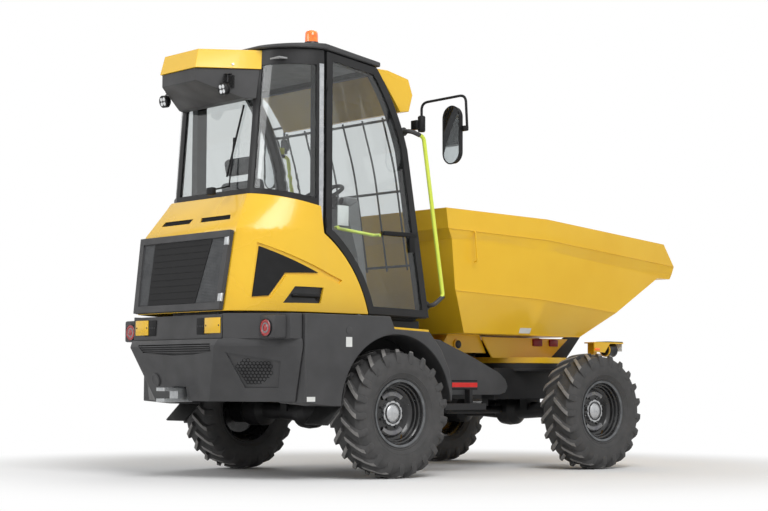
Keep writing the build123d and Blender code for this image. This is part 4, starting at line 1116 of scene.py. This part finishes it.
cameraSettings = {"place": (-8.435, -9.077, 0.612), "heading": 41.805, "climb": 4.377,
    "roll": 0.19, "lensMm": 78.9}
heading, climb, roll = (math.radians(cameraSettings[k]) for k in ("heading", "climb", "roll"))
forward = Vector((math.sin(heading) * math.cos(climb), math.cos(heading) * math.cos(climb),
    math.sin(climb)))
across = forward.cross(Vector((0, 0, 1))).normalized()
upward = across.cross(forward)
turned = Matrix((across, upward, -forward)).transposed() @ Matrix.Rotation(roll, 3, "Z")
camera = newObject("camera", bpy.data.cameras.new("camera"))
camera.matrix_world = shift(cameraSettings["place"]) @ turned.to_4x4()
camera.data.sensor_width = 36
camera.data.lens = cameraSettings["lensMm"]
camera.data.clip_end = 200
bpy.context.scene.camera = camera

studio = {"floorSize": 40, "worldStrength": 0.42, "floorColour": "F4F4F4", "fadeFrom": 2.3,
    "fadeTo": 4.2}
lamps = [  # name, place, size, power: big soft boxes overhead and at both sides
    ("keyBox", (-3.2, -6.8, 8.2), 5.0, 585),
    ("fillBox", (-9.0, 1.5, 4.5), 4.0, 170),
    ("rimBox", (4.5, 5.5, 6.0), 4.0, 160),
]
for name, place, size, power in lamps:
    lamp = newObject(name, bpy.data.lights.new(name, "AREA"))
    lamp.data.size = size
    lamp.data.energy = power
    lamp.location = place
    lamp.rotation_euler = (Vector(place) - Vector((0, 0, 1.0))).to_track_quat("Z", "Y").to_euler()


def mathNode(tree, operation, first, second):
    return addNode(tree, "ShaderNodeMath", {"operation": operation}, {0: first, 1: second}).outputs[0]


world = bpy.data.worlds.new("studio")
bpy.context.scene.world = world
world.use_nodes = True
tree = world.node_tree
tree.nodes.clear()
path = addNode(tree, "ShaderNodeLightPath")
sees = mathNode(tree, "MAXIMUM", path.outputs["Is Camera Ray"], path.outputs["Is Glossy Ray"])
sees = mathNode(tree, "MAXIMUM", sees, path.outputs["Is Transmission Ray"])
strength = addNode(tree, "ShaderNodeMapRange", {"To Min": studio["worldStrength"], "To Max": 1.0},
    {"Value": sees})
sky = addNode(tree, "ShaderNodeBackground", {"Color": (1, 1, 1, 1)},
    {"Strength": strength.outputs["Result"]})
addNode(tree, "ShaderNodeOutputWorld", {}, {"Surface": sky.outputs["Background"]})

# matt white paper floor that turns into the white surround away from the machine
material, tree = emptyMaterial("studioPaper")
where = addNode(tree, "ShaderNodeTexCoord").outputs["Object"]
away = addNode(tree, "ShaderNodeVectorMath", {"operation": "LENGTH"}, {0: where})
fade = addNode(tree, "ShaderNodeMapRange",
    {"interpolation_type": "SMOOTHSTEP", "From Min": studio["fadeFrom"],
    "From Max": studio["fadeTo"]}, {"Value": away.outputs["Value"]})
path = addNode(tree, "ShaderNodeLightPath")
sees = mathNode(tree, "MAXIMUM", path.outputs["Is Camera Ray"], path.outputs["Is Transmission Ray"])
share = mathNode(tree, "MULTIPLY", fade.outputs["Result"], sees)
paper = addNode(tree, "ShaderNodeBsdfDiffuse", {"Color": toLinear(studio["floorColour"])})
white = addNode(tree, "ShaderNodeEmission", {"Color": (1, 1, 1, 1), "Strength": 1.0})
both = addNode(tree, "ShaderNodeMixShader", {},
    {0: share, 1: paper.outputs["BSDF"], 2: white.outputs["Emission"]})
addNode(tree, "ShaderNodeOutputMaterial", {}, {"Surface": both.outputs["Shader"]})
form = bmesh.new()
bmesh.ops.create_grid(form, x_segments=8, y_segments=8, size=studio["floorSize"])
floorMesh = bpy.data.meshes.new("floor")
form.to_mesh(floorMesh)
form.free()
floorMesh.materials.append(material)
floor = newObject("floor", floorMesh)
bpy.context.scene.view_settings.view_transform = "Standard"
print("studio and camera set")
